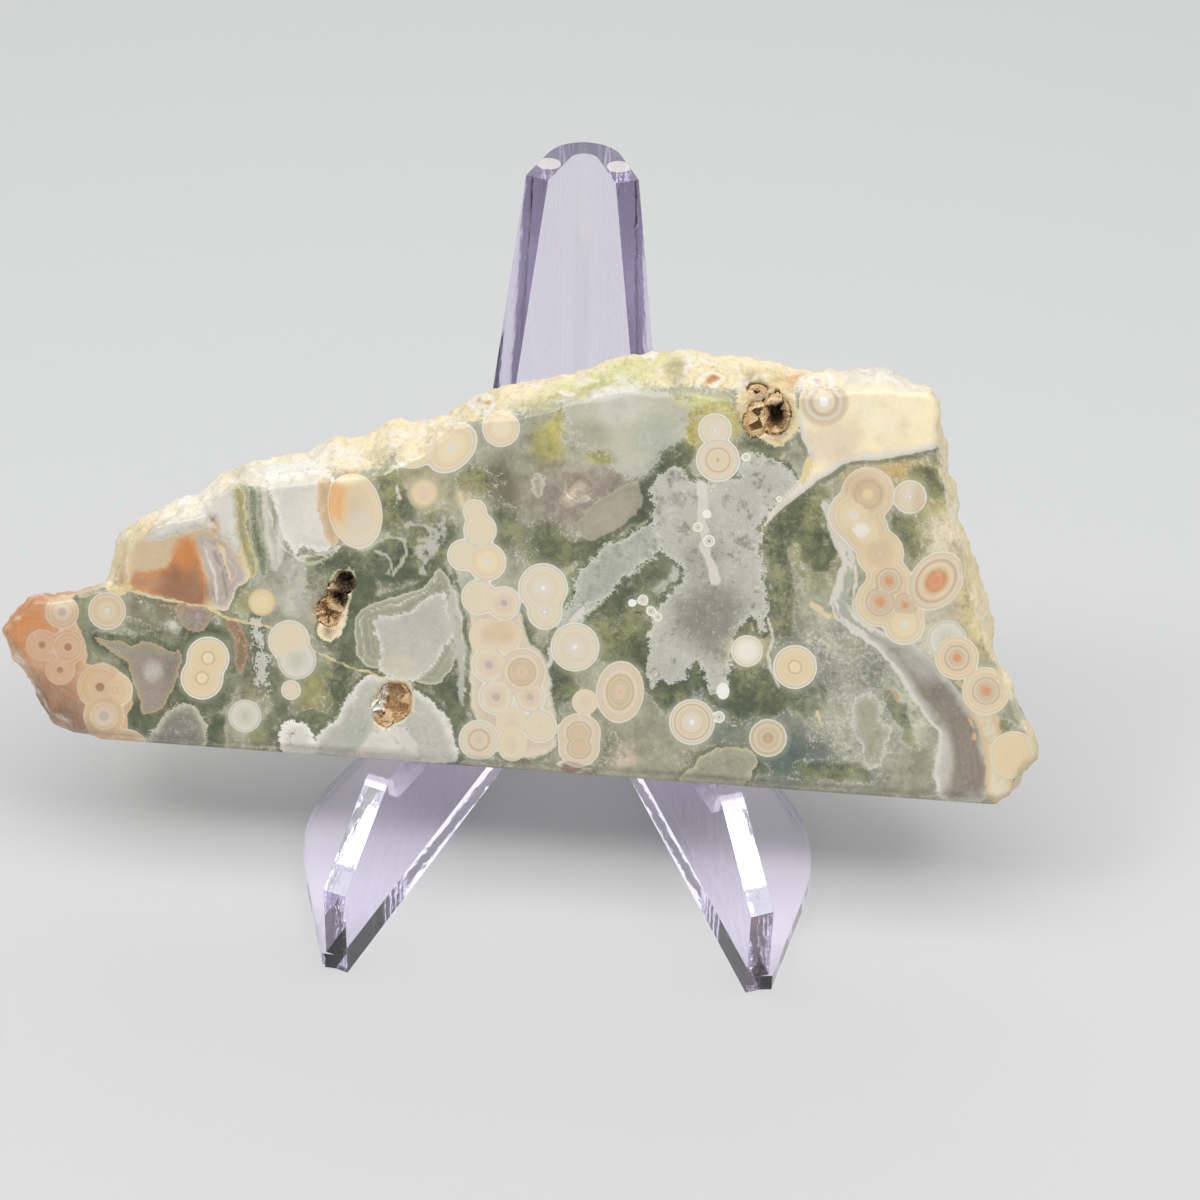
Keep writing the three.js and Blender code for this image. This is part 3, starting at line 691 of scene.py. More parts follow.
# How the orbs look: colours from the rim (0) to the middle (1), strength of the rings and of the outline,
# the heart's colour and size and a circle's place, the last two as shares of the radius.
Kind = namedtuple("Kind", "body rings outline heart heart_size ring", defaults=("rose", 0.0, 0.0))
KINDS = {
    "cream": Kind([(0, "milk"), (0.15, "ivory"), (0.3, "cream"), (1, "butter")], 0.6, 0.5, "milk", 0.2),
    "ringed": Kind(
        [(0, "milk"), (0.15, "ivory"), (0.3, "cream"), (0.7, "cream"), (1, "butter")],
        0.3, 1.0, "lemon", 0.12, 0.3,
    ),
    "peach": Kind([(0, "ivory"), (0.3, "cream"), (1, "beige")], 0.3, 0.4, "rose", 0.1),
    "faint": Kind([(0, "milk"), (0.3, "ivory"), (0.6, "rose"), (1, "rose")], 0.25, 0.5, "lilac", 0.22),
    "milk": Kind([(0, "milk"), (0.3, "ivory"), (1, "milk")], 0.6, 0.6, "snow", 0.1),
    "pale": Kind([(0, "milk"), (0.25, "ivory"), (1, "ivory")], 0.4, 0.5),
    "round_pale": Kind(
        [(0, "milk"), (0.2, "ivory"), (0.7, "ivory"), (1, "milk")],
        1.2, 0.6, "snow", 0.12, 0.75,
    ),
    "mint": Kind([(0, "pale_green"), (0.2, "milk"), (1, "pale_green")], 0.3, 0.5),
    "lemon": Kind([(0, "tan"), (0.2, "lemon"), (0.5, "cream"), (1, "butter")], 0.3, 0.0, "lemon", 0.3),
    "tan": Kind(
        [(0, "pale_green"), (0.2, "ivory"), (0.5, "beige"), (1, "tan")],
        0.9, 1.0, "beige", 0.1, 0.8,
    ),
    "edge": Kind([(0, "ivory"), (0.3, "cream"), (1, "cream")], 0.2, 0.3),
    "diffuse": Kind([(0, "pale_moss"), (0.4, "cream"), (1, "rose")], 0.0, 0.0),
    "brown_ring": Kind(
        [(0, "milk"), (0.35, "ivory"), (0.5, "ivory"), (1, "cream")],
        0.9, 0.9, "tan", 0.1, 0.54,
    ),
    "tan_ring": Kind(
        [(0, "ivory"), (0.3, "cream"), (0.5, "beige"), (1, "cream")],
        0.5, 0.4, "cream", 0.2, 0.5,
    ),
    "orange_heart": Kind(
        [(0, "ivory"), (0.25, "cream"), (0.5, "rose"), (0.75, "beige"), (0.88, "coral"), (1, "coral")],
        0.5, 0.4, "coral", 0.16, 0.55,
    ),
    "coral_heart": Kind(
        [(0, "ivory"), (0.3, "rose"), (0.45, "cream"), (0.6, "peach"), (0.7, "orange"),
         (0.8, "coral"), (1, "coral")],
        0.6, 0.5, "coral", 0.25, 0.7,
    ),
    "brown_dot": Kind(
        [(0, "beige"), (0.3, "peach"), (0.6, "beige"), (1, "deep_peach")],
        0.5, 0.15, "rust", 0.2,
    ),
    "lilac_dot": Kind([(0, "peach"), (0.4, "beige"), (0.7, "rose"), (1, "lilac")], 0.6, 0.3, "lilac", 0.25),
    "dark_dot": Kind([(0, "milk"), (0.3, "ivory"), (1, "rose")], 0.8, 0.6, "brown", 0.05, 0.5),
    "gold_heart": Kind(
        [(0, "ivory"), (0.2, "rose"), (0.4, "ivory"), (0.6, "beige"), (1, "rose")],
        0.6, 0.45, "apricot", 0.1, 0.55,
    ),
    "pearl": Kind([(0, "snow"), (0.5, "milk"), (1, "snow")], 0.4, 0.9, "slate", 0.3),
    "white": Kind([(0, "snow"), (1, "snow")], 0.1, 0.3),
    "half_white": Kind(
        [(0, "ivory"), (0.2, "beige"), (0.3, "milk"), (0.5, "tan"), (0.6, "ivory"), (1, "milk")],
        0.2, 0.2, "snow", 0.2,
    ),
    "rim_eye": Kind(
        [(0, "lemon"), (0.25, "butter"), (0.5, "lemon"), (0.6, "snow"), (0.72, "butter"),
         (0.82, "orange"), (1, "rust")],
        0.0, 0.0,
    ),
    "rim_pale": Kind([(0, "lemon"), (0.3, "snow"), (0.6, "butter"), (0.75, "snow"), (1, "tan")], 0.0, 0.0),
    "rim_fleck": Kind([(0, "lemon"), (1, "orange")], 0.0, 0.0),
    "blur": Kind([(0, "ivory"), (0.4, "ivory"), (1, "rose")], 0.3, 0.1),
}

# Orbs that grew into each other share one outline: middle, radius, kind, stretch upwards, turn.
Orb = namedtuple("Orb", "x y radius kind stretch turn", defaults=(1.0, 0.0))
ORBS = {
    "left tip": [Orb(62, 612, 17, "lilac_dot"), Orb(68, 647, 18, "brown_dot"), Orb(42, 645, 16, "brown_dot"),
                 Orb(60, 670, 15, "brown_dot")],
    "left pair": [Orb(100, 687, 23, "brown_dot"), Orb(115, 690, 18, "peach")],
    "left foot": [Orb(104, 716, 21, "lilac_dot")],
    "left lump": [Orb(126, 740, 16, "peach", 0.7)],
    "left cream": [Orb(107, 611, 19, "cream")],
    "twins": [Orb(208, 658, 21.5, "ringed"), Orb(202, 678, 21.5, "ringed")],
    "small lemon": [Orb(262, 602, 14, "lemon")],
    "pale pair": [Orb(289, 641, 21, "pale"), Orb(297, 660, 19.5, "mint")],
    "small pale": [Orb(291, 690, 10, "pale")],
    "green-white": [Orb(245, 716, 16.5, "mint")],
    "long peach": [Orb(355, 510, 27, "peach", 1.46, -12)],
    "upper lump": [Orb(412, 454, 21, "cream", 0.7), Orb(452, 448, 21, "cream", 1.4, 45)],
    "cut orb": [Orb(501, 428, 19, "cream")],
    "soft spot": [Orb(424, 493, 17, "diffuse")],
    "cream column": [
        Orb(475, 511, 12, "pale"), Orb(480, 530, 17, "pale"), Orb(463, 555, 16, "pale"),
        Orb(487, 562, 19.5, "cream"), Orb(479, 597, 18, "pale"), Orb(504, 603, 17, "faint"),
        Orb(486, 636, 17, "blur"), Orb(506, 636, 16, "blur"), Orb(489, 665, 18, "faint"),
        Orb(522, 672, 24, "gold_heart"), Orb(496, 697, 18, "faint"), Orb(530, 697, 16, "faint"),
        Orb(540, 726, 17, "pale"), Orb(512, 722, 16, "blur"),
    ],
    "column foot": [Orb(479, 740, 20.5, "dark_dot")],
    "lilac foot": [Orb(512, 744, 15, "blur", 1.2)],
    "boxy": [Orb(579, 733, 22, "gold_heart", 0.9), Orb(579, 748, 21, "gold_heart", 0.9)],
    "tall milk": [Orb(543, 588, 25, "milk"), Orb(545, 612, 18, "milk")],
    "round milk": [Orb(575, 647, 24.5, "milk")],
    "faint": [Orb(585, 702, 13, "blur")],
    "oval gold": [Orb(620, 692, 24, "gold_heart", 1.3, 5)],
    "pearl string": [Orb(632, 603, 4, "white"), Orb(643, 600, 5.5, "pearl"), Orb(651, 611, 5, "pearl"),
                     Orb(658, 617, 4.5, "pearl")],
    "upper milk": [Orb(715, 430, 17, "milk")],
    "ringed": [Orb(718, 460, 22, "brown_ring")],
    "tiny one": [Orb(746, 457, 4.5, "pearl")],
    "tiny two": [Orb(779, 499, 3.2, "pearl")],
    "tiny chain": [Orb(698, 527, 5, "pearl"), Orb(707, 514, 4.5, "white"), Orb(709, 541, 6, "pearl")],
    "bright milk": [Orb(747, 651, 16, "pale")],
    "gold ringed": [Orb(795, 667, 22, "ringed")],
    "round pale": [Orb(692, 722, 23, "round_pale")],
    "budding": [Orb(719, 717, 6, "pearl")],
    "tan round": [Orb(768, 738, 19, "tan")],
    "drop": [Orb(723, 691, 6.5, "white", 1.3)],
    "half orb": [Orb(824, 402, 25, "half_white")],
    "right chain": [
        Orb(868, 494, 27, "tan_ring"), Orb(854, 515, 26, "cream"), Orb(866, 531, 23, "cream"),
        Orb(880, 553, 24, "peach"), Orb(889, 581, 23, "orange_heart"), Orb(880, 602, 25, "orange_heart"),
        Orb(905, 605, 20, "orange_heart"), Orb(904, 624, 21, "cream"),
    ],
    "white heart": [Orb(861, 530, 8, "white")],
    "two-tone": [Orb(910, 497, 17, "milk")],
    "coral oval": [Orb(936, 581, 25, "coral_heart", 1.3, 40)],
    "pale round": [Orb(947, 640, 20, "mint")],
    "coral round": [Orb(957, 658, 22, "orange_heart")],
    "coral edge": [Orb(986, 691, 24, "orange_heart")],
    "tan edge": [Orb(1014, 755, 24, "edge")],
}

# Washes over the orbs alone.
ORB_TINTS = {
    "long orb's orange side": Wash(334, 496, 15, 34, "apricot", 1.0, -4),
    "long orb's pale top": Wash(345, 476, 18, 10, "butter", 0.9),
    "first chain": Wash(870, 520, 44, 60, "tan", 0.25),
    "lower chain": Wash(890, 600, 44, 40, "tan", 0.2),
    "two-tone's right": Wash(918, 500, 8, 18, "beige", 0.8),
    "left cream": Wash(107, 611, 26, 26, "tan", 0.45),
    "long orb": Wash(362, 530, 20, 30, "milk", 0.5),
    "bright orb": Wash(747, 651, 14, 14, "snow", 0.75),
    "left orbs": Wash(44, 655, 48, 52, "deep_peach", 0.65),
    "chain's golden top": Wash(856, 484, 22, 14, "tan", 0.4),
    # painted highlight along the top edge of the left tip
    "painted highlight on the left tip's top": Wash(62, 601, 22, 10, "butter", 0.6),
    "column's tan middle": Wash(500, 632, 20, 16, "peach", 0.5),
    "left pair": Wash(108, 690, 30, 24, "peach", 0.5),
    "left foot": Wash(118, 742, 24, 14, "deep_peach", 0.6),
}

# Orbs that the broken rim cuts through.
RIM_ORBS = {
    "orange eye": Orb(709, 381, 25, "rim_eye", 0.6),
    "pale eye": Orb(818, 387, 26, "rim_pale", 0.4),
    "cream swirl": Orb(480, 402, 22, "rim_pale", 0.7),
    "white dot": Orb(651, 362, 9, "rim_pale", 0.7),
    "low dot": Orb(573, 390, 8, "rim_pale", 0.7),
    "golden dot": Orb(822, 374, 9, "rim_eye", 0.5),
    "orange fleck": Orb(412, 422, 5, "rim_fleck", 0.8),
    "orange fleck right": Orb(489, 401, 5, "rim_fleck", 0.8),
}

# Colours on the broken rim, in the picture, as the washes above. Its pale cream, butter and snow are partly
# the rind's own colour and partly painted light, for the upper rim lit from above.
RIM_WASHES = {
    "peach tip": Wash(50, 620, 60, 60, "deep_peach"),
    "orange tip": Wash(34, 618, 50, 32, "orange"),
    # painted highlight along the top edge of the left tip
    "painted highlight on top of the tip": Wash(66, 594, 22, 9, "butter", 0.6),
    "lower tip": Wash(60, 700, 60, 60, "deep_peach", 0.9),
    # painted shade: the rough band under the left tip faces down, away from the lights, so it is painted
    # darker brown and rust
    "painted shade under the tip": Wash(60, 690, 30, 40, "brown", 0.8, 40),
    "painted shade on the left lumps": Wash(90, 725, 40, 20, "rust", 0.6, 20),
    "block shoulder": Wash(125, 555, 20, 34, "lemon", 0.8, 30),
    "block top": Wash(185, 500, 44, 22, "snow", 0.8, -30),
    "slit's wall": Wash(340, 594, 26, 46, "cream", 1.0, 15),
    "middle pocket's wall": Wash(396, 704, 26, 26, "ivory"),
    "pits in the bands": Wash(216, 535, 12, 20, "tan", 0.9),
    "crusty pit's wall": Wash(582, 488, 22, 18, "tan"),
    "crusty pit": Wash(586, 487, 6, 5, "brown"),
    "green notch": Wash(240, 478, 22, 10, "olive", 0.6),
    "white shoulder": Wash(288, 462, 66, 26, "snow", 1.0, -14),
    "yellow hump": Wash(365, 445, 40, 22, "butter", 0.9, -20),
    "green step": Wash(385, 455, 26, 12, "olive", 0.4),
    "peach block": Wash(345, 478, 16, 12, "orange", 0.7),
    "cream lump": Wash(480, 402, 30, 22, "lemon", 0.8, -30),
    "moss ledge": Wash(545, 405, 40, 14, "olive", 0.6),
    "white ledge": Wash(590, 395, 30, 12, "snow", 0.7),
    "orange fleck": Wash(625, 372, 20, 8, "orange", 0.5),
    "middle ledge": Wash(650, 372, 26, 10, "butter", 0.6),
    "green crest": Wash(610, 380, 84, 22, "lime", 1.0, -14),
    "mossy foot of the crest": Wash(580, 394, 70, 10, "bright_olive", 0.6, -14),
    "moss before orb": Wash(680, 375, 16, 12, "olive", 0.7),
    "white above orb": Wash(709, 378, 26, 14, "snow", 0.8),
    "orange right": Wash(765, 372, 50, 14, "lemon", 0.9, 8),
    "golden spots": Wash(812, 386, 30, 10, "apricot", 0.8, 5),
    "orange by the pale eye": Wash(800, 384, 34, 12, "orange", 0.5, 5),
    "rust right": Wash(750, 385, 14, 20, "rust", 0.6),
    "top pocket's wall": Wash(766, 414, 36, 36, "lemon"),
    "ochre above the top pocket": Wash(756, 388, 22, 14, "ochre", 0.9),
    "cream right": Wash(880, 385, 60, 20, "milk", 0.9, 6),
    "right corner": Wash(940, 420, 16, 34, "lemon", 0.5),
    "right flank": Wash(985, 560, 26, 90, "lemon", 0.6, -12),
    "green flank": Wash(975, 500, 20, 40, "pale_green", 0.6, -12),
    "lower flank": Wash(1005, 685, 20, 34, "butter", 0.9),
    "pale notch": Wash(1014, 718, 12, 14, "pale_green", 0.9),
    "tan foot": Wash(1020, 760, 20, 34, "lemon", 0.7),
}

FAR = 40.0  # pixels, a start for distances
NO_LINE = (1.0, 1.0, 1.0, 0.0)  # the starts for the looks of what is far from every patch and orb
PATCH_STYLE = (0.3, 0.0, 0.0, 0.12)
ORB_STYLE = (0.5, 0.5, 0.0, 0.0)
SIDE_DRIFT = 4.0  # how far, in pixels per mm of depth, an orb's middle drifts into the stone
SIDE_CHANGE = 0.09  # how far its radius changes, as a share per mm of depth
MORE_SHRINK = 0.4  # which shifts that change towards shrinking
LEAST_RADIUS = 0.15  # as a share of the radius on the face
ORB_SEED = 5
MERGE_REACH = 4.0  # pixels over which orbs that share an outline round into each other
EDGE_WAVE = 14  # pixels between the swells of a lacy edge
CORE_FROM = 11  # pixels in from a patch's edge where its core has taken over
CORE_WAVER = (3, 20)  # how far in pixels that place wavers, and over what distance
VEIN_WAVE = 8

# How the pattern wanders, in pixels: how far, over what distance, and a seed each way.
BEND = (5, 90, (13, 16))  # per mm of depth, behind the first mm
DRAWN_OFF = ((3.0, 40, (11, 14)), (1.0, 9, (12, 15)))  # all but the orbs
RAGGED = (6, 24, (17, 18))  # moss, further yet

# Clouds on the rind: colour, strength, size, seed and the swell where they start and are full.
RIND_CLOUDS = (("snow", 0.6, 14, 31, 0.1, 0.8), ("lemon", 0.35, 17, 32, 0.3, 1.0))


def wash_share(px, py, wash):
    """1 in the middle of a wash or spot, times its strength, falling softly to 0 at its edge."""
    across, down = turned(px - wash.x, py - wash.y, -math.radians(wash.turn))
    reach = np.hypot(across / wash.wide, down / wash.high)
    return wash.strength * (1 - ramp(reach, 0.4, 1.2))


def plain(colour, px):
    """One colour at every point."""
    return np.tile(linear(colour), (len(px), 1))


def washed(px, py, colour, washes):
    """A colour field under washes, laid on in order."""
    for wash in washes.values():
        colour = blend(colour, linear(wash.colour), wash_share(px, py, wash))
    return colour


def density(px, py, spots):
    """How densely something stands, from 0 to 1, where spots of it overlap."""
    bare = np.ones(px.shape)
    for spot in spots.values():
        bare *= 1 - wash_share(px, py, spot)
    return 1 - bare


def moved(px, py, points, reach, size, seeds):
    """Places pushed about by a smooth unevenness."""
    return px + reach * swell(points, size, seeds[0]), py + reach * swell(points, size, seeds[1])


def patch_fields(px, py, points, ground):
    """Signed distance in from the patches' edges, in pixels, with the looks of the nearest patch."""
    edge = np.full(px.shape, -FAR)
    colour = ground.copy()
    line = np.tile(NO_LINE, (len(px), 1))
    style = np.tile(PATCH_STYLE, (len(px), 1))
    fringe = np.zeros(px.shape)
    waver, wave = CORE_WAVER
    for number, area in enumerate(PATCHES.values()):
        inward = inside_distance(px, py, rounded(area.outline))
        inward += area.lace * PIXELS_PER_MM * 0.5 * swell(points, EDGE_WAVE, 100 + number)
        taken = (inward > 0) | ((edge < 0) & (inward > edge))
        edge = np.where(taken, inward, edge)
        within = ramp(inward[taken] + waver * swell(points[taken], wave, 150 + number), 0, CORE_FROM)
        colour[taken] = blend(linear(area.colour)[None, :], linear(area.core), within)
        line[taken] = (*linear(area.line), area.line_strength)
        style[taken] = (area.lace, area.bands, area.grain, area.soft)
        fringe[taken] = area.fringe
    return edge, colour, line, style, fringe


def vein_fields(px, py, points):
    """How surely each point is in a vein, from 0 to 1, and that vein's colour."""
    share = np.zeros(px.shape)
    colour = plain("snow", px)
    for number, streak in enumerate(VEINS.values()):
        away = line_distance(px, py, streak.points)
        away += streak.rag * 0.5 * swell(points, VEIN_WAVE, 200 + number)
        near = streak.width / 2 - away
        soft = 1.2 + 0.2 * streak.width
        taken = near > -2 * soft
        share = np.where(taken, np.maximum(share, ramp(near, -soft, soft)), share)
        colour[taken] = linear(streak.colour)
    return share, colour


def body_colour(kind, depth):
    """The colours of a kind of orb at shares of the way in from its rim."""
    stops = [stop for stop, _ in kind.body]
    tones = np.array([linear(tone) for _, tone in kind.body])
    return np.column_stack([np.interp(depth, stops, tones[:, channel]) for channel in range(3)])


def orb_distances(px, py, deep, orb, number):
    """How far each point is from an orb's middle, and in from its rim, and the radius at its depth."""
    drift = [lattice(number, axis, 0, ORB_SEED) for axis in range(3)]
    radius = orb.radius * np.maximum(1 + (drift[2] - MORE_SHRINK) * SIDE_CHANGE * deep, LEAST_RADIUS)
    across, down = turned(
        px - orb.x - drift[0] * SIDE_DRIFT * deep,
        py - orb.y - drift[1] * SIDE_DRIFT * deep,
        -math.radians(orb.turn),
    )
    away = np.hypot(across, down / orb.stretch)
    return away, radius - away, radius


def orb_fields(px, py, deep):
    """Distance in from the orbs' rims and out from their middles, in pixels, with their looks."""
    rim = np.full(px.shape, -FAR)
    middle = np.full(px.shape, FAR)
    colour = plain("milk", px)
    heart = colour.copy()
    style = np.tile(ORB_STYLE, (len(px), 1))
    number = 0
    for cluster in ORBS.values():
        inward = np.full(px.shape, -FAR)
        own_middle = middle
        own_colour, own_heart, own_style = colour.copy(), heart.copy(), style.copy()
        for orb in cluster:
            number += 1
            kind = KINDS[orb.kind]
            away, edge, radius = orb_distances(px, py, deep, orb, number)
            nearer = edge > inward
            own_middle = np.where(nearer, away, own_middle)
            own_colour[nearer] = body_colour(kind, np.clip(edge / radius, 0, 1))[nearer]
            own_heart[nearer] = linear(kind.heart)
            size = orb.radius / PIXELS_PER_MM
            own_style[nearer] = (kind.outline, kind.rings, kind.heart_size * size, kind.ring * size)
            gap = np.clip((MERGE_REACH - np.abs(edge - inward)) / MERGE_REACH, 0, 1)
            inward = np.maximum(edge, inward) + gap * gap * MERGE_REACH / 4
        taken = (inward > 0) | ((rim < 0) & (inward > rim))
        rim = np.where(taken, inward, rim)
        middle = np.where(taken, own_middle, middle)
        colour[taken] = own_colour[taken]
        heart[taken] = own_heart[taken]
        style[taken] = own_style[taken]
    return rim, middle, colour, heart, style


def rind_colour_and_light(px, py, points):
    """The broken rim's colour, with the orbs that it cuts through: partly the rind's own cream and partly
    painted light that makes the upward-facing rim brighter.
    """
    rind = washed(px, py, plain("butter", px), RIM_WASHES)
    for colour, strength, size, seed, start, full in RIND_CLOUDS:
        rind = blend(rind, linear(colour), strength * ramp(swell(points, size, seed), start, full))
    for cut in RIM_ORBS.values():
        away = np.hypot(px - cut.x, (py - cut.y) / cut.stretch) / cut.radius
        rind = blend(rind, body_colour(KINDS[cut.kind], 1 - away), 1 - ramp(away, 0.9, 1.05))
    return rind


def paint(px, py, deep):
    """All the fields of the stone's pattern at picture places, `deep` mm behind the face."""
    points = np.column_stack([px, py, deep * PIXELS_PER_MM])
    reach, size, seeds = BEND
    px, py = moved(px, py, points, reach * np.clip(deep - 1.0, 0, None), size, seeds)
    rim, middle, orb, heart, orb_style = orb_fields(px, py, deep)
    orb = washed(px, py, orb, ORB_TINTS)
    for wander in DRAWN_OFF:
        px, py = moved(px, py, points, *wander)

    ground = washed(px, py, plain("grey_green", px), GROUND)
    ground = ground * (1 + 0.10 * swell(points, 26, 21))[:, None]
    edge, patch, line, patch_style, fringe = patch_fields(px, py, points, ground)
    ragged = moved(px, py, points, *RAGGED)
    moss = np.maximum(density(*ragged, MOSS), fringe * (1 - ramp(-edge, 2, 12)))
    vein, vein_tone = vein_fields(px, py, points)
    return {
        "ground": washed(px, py, ground, TINTS),
        "moss": moss,
        "moss_tone": washed(*ragged, plain("moss", px), MOSS),
        "frost": density(px, py, FROST),
        "patch": washed(px, py, patch, TINTS),
        "patch_edge": edge / PIXELS_PER_MM,
        "patch_line": line,
        "patch_style": patch_style,
        "vein": vein,
        "vein_tone": vein_tone,
        "orb_rim": rim / PIXELS_PER_MM,
        "orb_middle": middle / PIXELS_PER_MM,
        "orb": orb,
        "heart": heart,
        "orb_style": orb_style,
        "rind": rind_colour_and_light(px, py, points),
    }


# ---------------------------------------------------------------- meshes

WELD = 1e-6  # metres between corners of loose triangles that are joined


def finished(name, mesh, replaces):
    """A new object for a finished piece, riding on the part's one body."""
    piece = bpy.data.objects.new(name, mesh)
    bpy.context.scene.collection.objects.link(piece)
    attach(piece, "root")
    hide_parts(replaces)
    return piece


def evaluated_mesh(piece):
    """The piece's mesh with its modifiers worked in; the piece itself is deleted."""
    depsgraph = bpy.context.evaluated_depsgraph_get()
    depsgraph.update()
    mesh = bpy.data.meshes.new_from_object(piece.evaluated_get(depsgraph), depsgraph=depsgraph)
    bpy.data.objects.remove(piece)
    return mesh


def merged_copy(node):
    """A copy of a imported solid's mesh, its loose triangles joined."""
    work = bmesh.new()
    work.from_mesh(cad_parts[node].data)
    bmesh.ops.remove_doubles(work, verts=work.verts, dist=WELD)
    return mesh_of(work, node)


def mesh_of(work, name):
    """What is worked on, as a new mesh; the work itself is freed."""
    mesh = bpy.data.meshes.new(name)
    work.to_mesh(mesh)
    work.free()
    return mesh


def surface_tree(mesh):
    """A mesh's faces, to measure to."""
    corners = [vertex.co.copy() for vertex in mesh.vertices]
    return BVHTree.FromPolygons(corners, [tuple(face.vertices) for face in mesh.polygons])


def workpiece(mesh):
    """An object that only holds a mesh while modifiers work on it."""
    piece = bpy.data.objects.new("work", mesh)
    bpy.context.scene.collection.objects.link(piece)
    return piece


def mesh_points(mesh):
    flat = np.empty(len(mesh.vertices) * 3)
    mesh.vertices.foreach_get("co", flat)
    return flat.reshape(-1, 3)


def set_points(mesh, points):
    mesh.vertices.foreach_set("co", points.ravel())
    mesh.update()


def vertex_normals(mesh):
    flat = np.empty(len(mesh.vertices) * 3)
    mesh.vertex_normals.foreach_get("vector", flat)
    return flat.reshape(-1, 3)


def store(mesh, name, values):
    """Keeps a number or up to four for each vertex under a name that materials read."""
    if values.ndim == 1:
        mesh.attributes.new(name, "FLOAT", "POINT").data.foreach_set("value", values)
    else:
        if values.shape[1] == 3:
            values = np.column_stack([values, np.ones(len(values))])
        mesh.attributes.new(name, "FLOAT_COLOR", "POINT").data.foreach_set("color", values.ravel())


# ---------------------------------------------------------------- materials


class Value:
    """A node's output, so that arithmetic on it adds the nodes that work it out."""

    def __init__(self, tree, socket=None):
        self.tree = tree
        self.socket = socket

    def node(self, kind, settings=None, inputs=None, output=0):
        """A new node: its settings first, then the values or links of its sockets."""
        node = self.tree.nodes.new(kind)
        for name, setting in (settings or {}).items():
            setattr(node, name, setting)
        for name, value in (inputs or {}).items():
            if isinstance(value, Value):
                self.tree.links.new(value.socket, node.inputs[name])
            else:
                node.inputs[name].default_value = value
        return Value(self.tree, node.outputs[output])

    def beside(self, output):
        """Another output of the same node."""
        return Value(self.tree, self.socket.node.outputs[output])

    def maths(self, operation, *others):
        return self.node("ShaderNodeMath", {"operation": operation}, dict(enumerate((self, *others))))

    def __add__(self, other):
        return self.maths("ADD", other)

    __radd__ = __add__

    def __sub__(self, other):
        return self.maths("SUBTRACT", other)

    def __rsub__(self, other):
        return self * -1.0 + other

    def __mul__(self, other):
        return self.maths("MULTIPLY", other)

    __rmul__ = __mul__

    def __truediv__(self, other):
        return self.maths("DIVIDE", other)

    def __abs__(self):
        return self.maths("ABSOLUTE")

    def sine(self):
        return self.maths("SINE")

    def smooth(self, low, high):
        """0 below low, 1 above high, and a smooth rise between them."""
        inputs = {"Value": self, "From Min": low, "From Max": high}
        return self.node("ShaderNodeMapRange", {"interpolation_type": "SMOOTHSTEP"}, inputs)

    def mix(self, under, over, way="MIX"):
        """A colour between two, this value being the share of the second."""
        settings = {"data_type": "RGBA", "blend_type": way}
        return self.node("ShaderNodeMix", settings, {0: self, 6: under, 7: over}, 2)


def new_material(name):
    """A material with its nodes cleared, its output, and an empty value that starts the rest."""
    material = bpy.data.materials.new(name)
    material.use_nodes = True
    tree = material.node_tree
    tree.nodes.clear()
    output = tree.nodes.new("ShaderNodeOutputMaterial")
    return material, output, Value(tree)


def shade(start, output, inputs):
    shader = start.node("ShaderNodeBsdfPrincipled", None, inputs)
    start.tree.links.new(shader.socket, output.inputs["Surface"])
    return shader


def object_place(start):
    """Object coordinates in mm."""
    place = start.node("ShaderNodeTexCoord", None, None, "Object")
    return start.node("ShaderNodeMapping", None, {"Vector": place, "Scale": (1 / MM,) * 3})


def noise(start, place, scale, detail, roughness=0.55):
    """Noise from 0 to 1: how many swells to the mm, how much finer detail and how strong that is."""
    inputs = {"Vector": place, "Scale": scale, "Detail": detail, "Roughness": roughness}
    return start.node("ShaderNodeTexNoise", None, inputs)


def bump(start, strength, distance, height):
    """A normal from a height; the distance is in mm."""
    inputs = {"Strength": strength, "Distance": distance * MM, "Height": height}
    return start.node("ShaderNodeBump", None, inputs)


def attribute(start, name, output="Fac"):
    return start.node("ShaderNodeAttribute", {"attribute_name": name}, None, output)


def axes_of(start, vector):
    """The three numbers of a vector."""
    first = start.node("ShaderNodeSeparateXYZ", None, {"Vector": vector})
    return [first, first.beside(1), first.beside(2)]


def components(start, name):
    """The four numbers kept in a style attribute."""
    vector = attribute(start, name, "Vector")
    return axes_of(start, vector) + [vector.beside("Alpha")]


def rgba(colour):
    return (*linear(colour), 1.0)


QUARTZ_REFRACTION = 1.54
PLASTIC_REFRACTION = 1.49

# Noises of the stone: how many swells to the mm, how much finer detail and how strong that is.
NOISES = {
    "drift": (0.22, 3, 0.5),
    "broad": (0.55, 5, 0.6),
    "tuft": (1.5, 7, 0.68),
    "fine": (2.2, 5, 0.6),
    "grain": (4.6, 4, 0.65),
    "swirl": (0.8, 4, 0.6),
}
BAND_STEP = 8.0  # radians of the growth bands to the mm
RING_STEP = 4.5  # swells of an orb's rings to the mm
RING_CHANGE = 7.0  # how much the rings differ between orbs whose hearts are a mm apart in size
PALE_RIM = 0.08  # mm in from an orb's rim
DARK_RIM = 0.27


def scaled(start, colour, factor):
    """A colour made lighter or darker by a varying factor."""
    return start.node("ShaderNodeVectorMath", {"operation": "SCALE"}, {0: colour, "Scale": factor})


def stone_noises(start, place):
    """The stone's noises, each from about -0.5 to 0.5, and last a speckle of the finest two."""
    noises = [noise(start, place, *settings) - 0.5 for settings in NOISES.values()]
    fine, grain = noises[3], noises[4]
    return *noises, fine + grain * 1.3


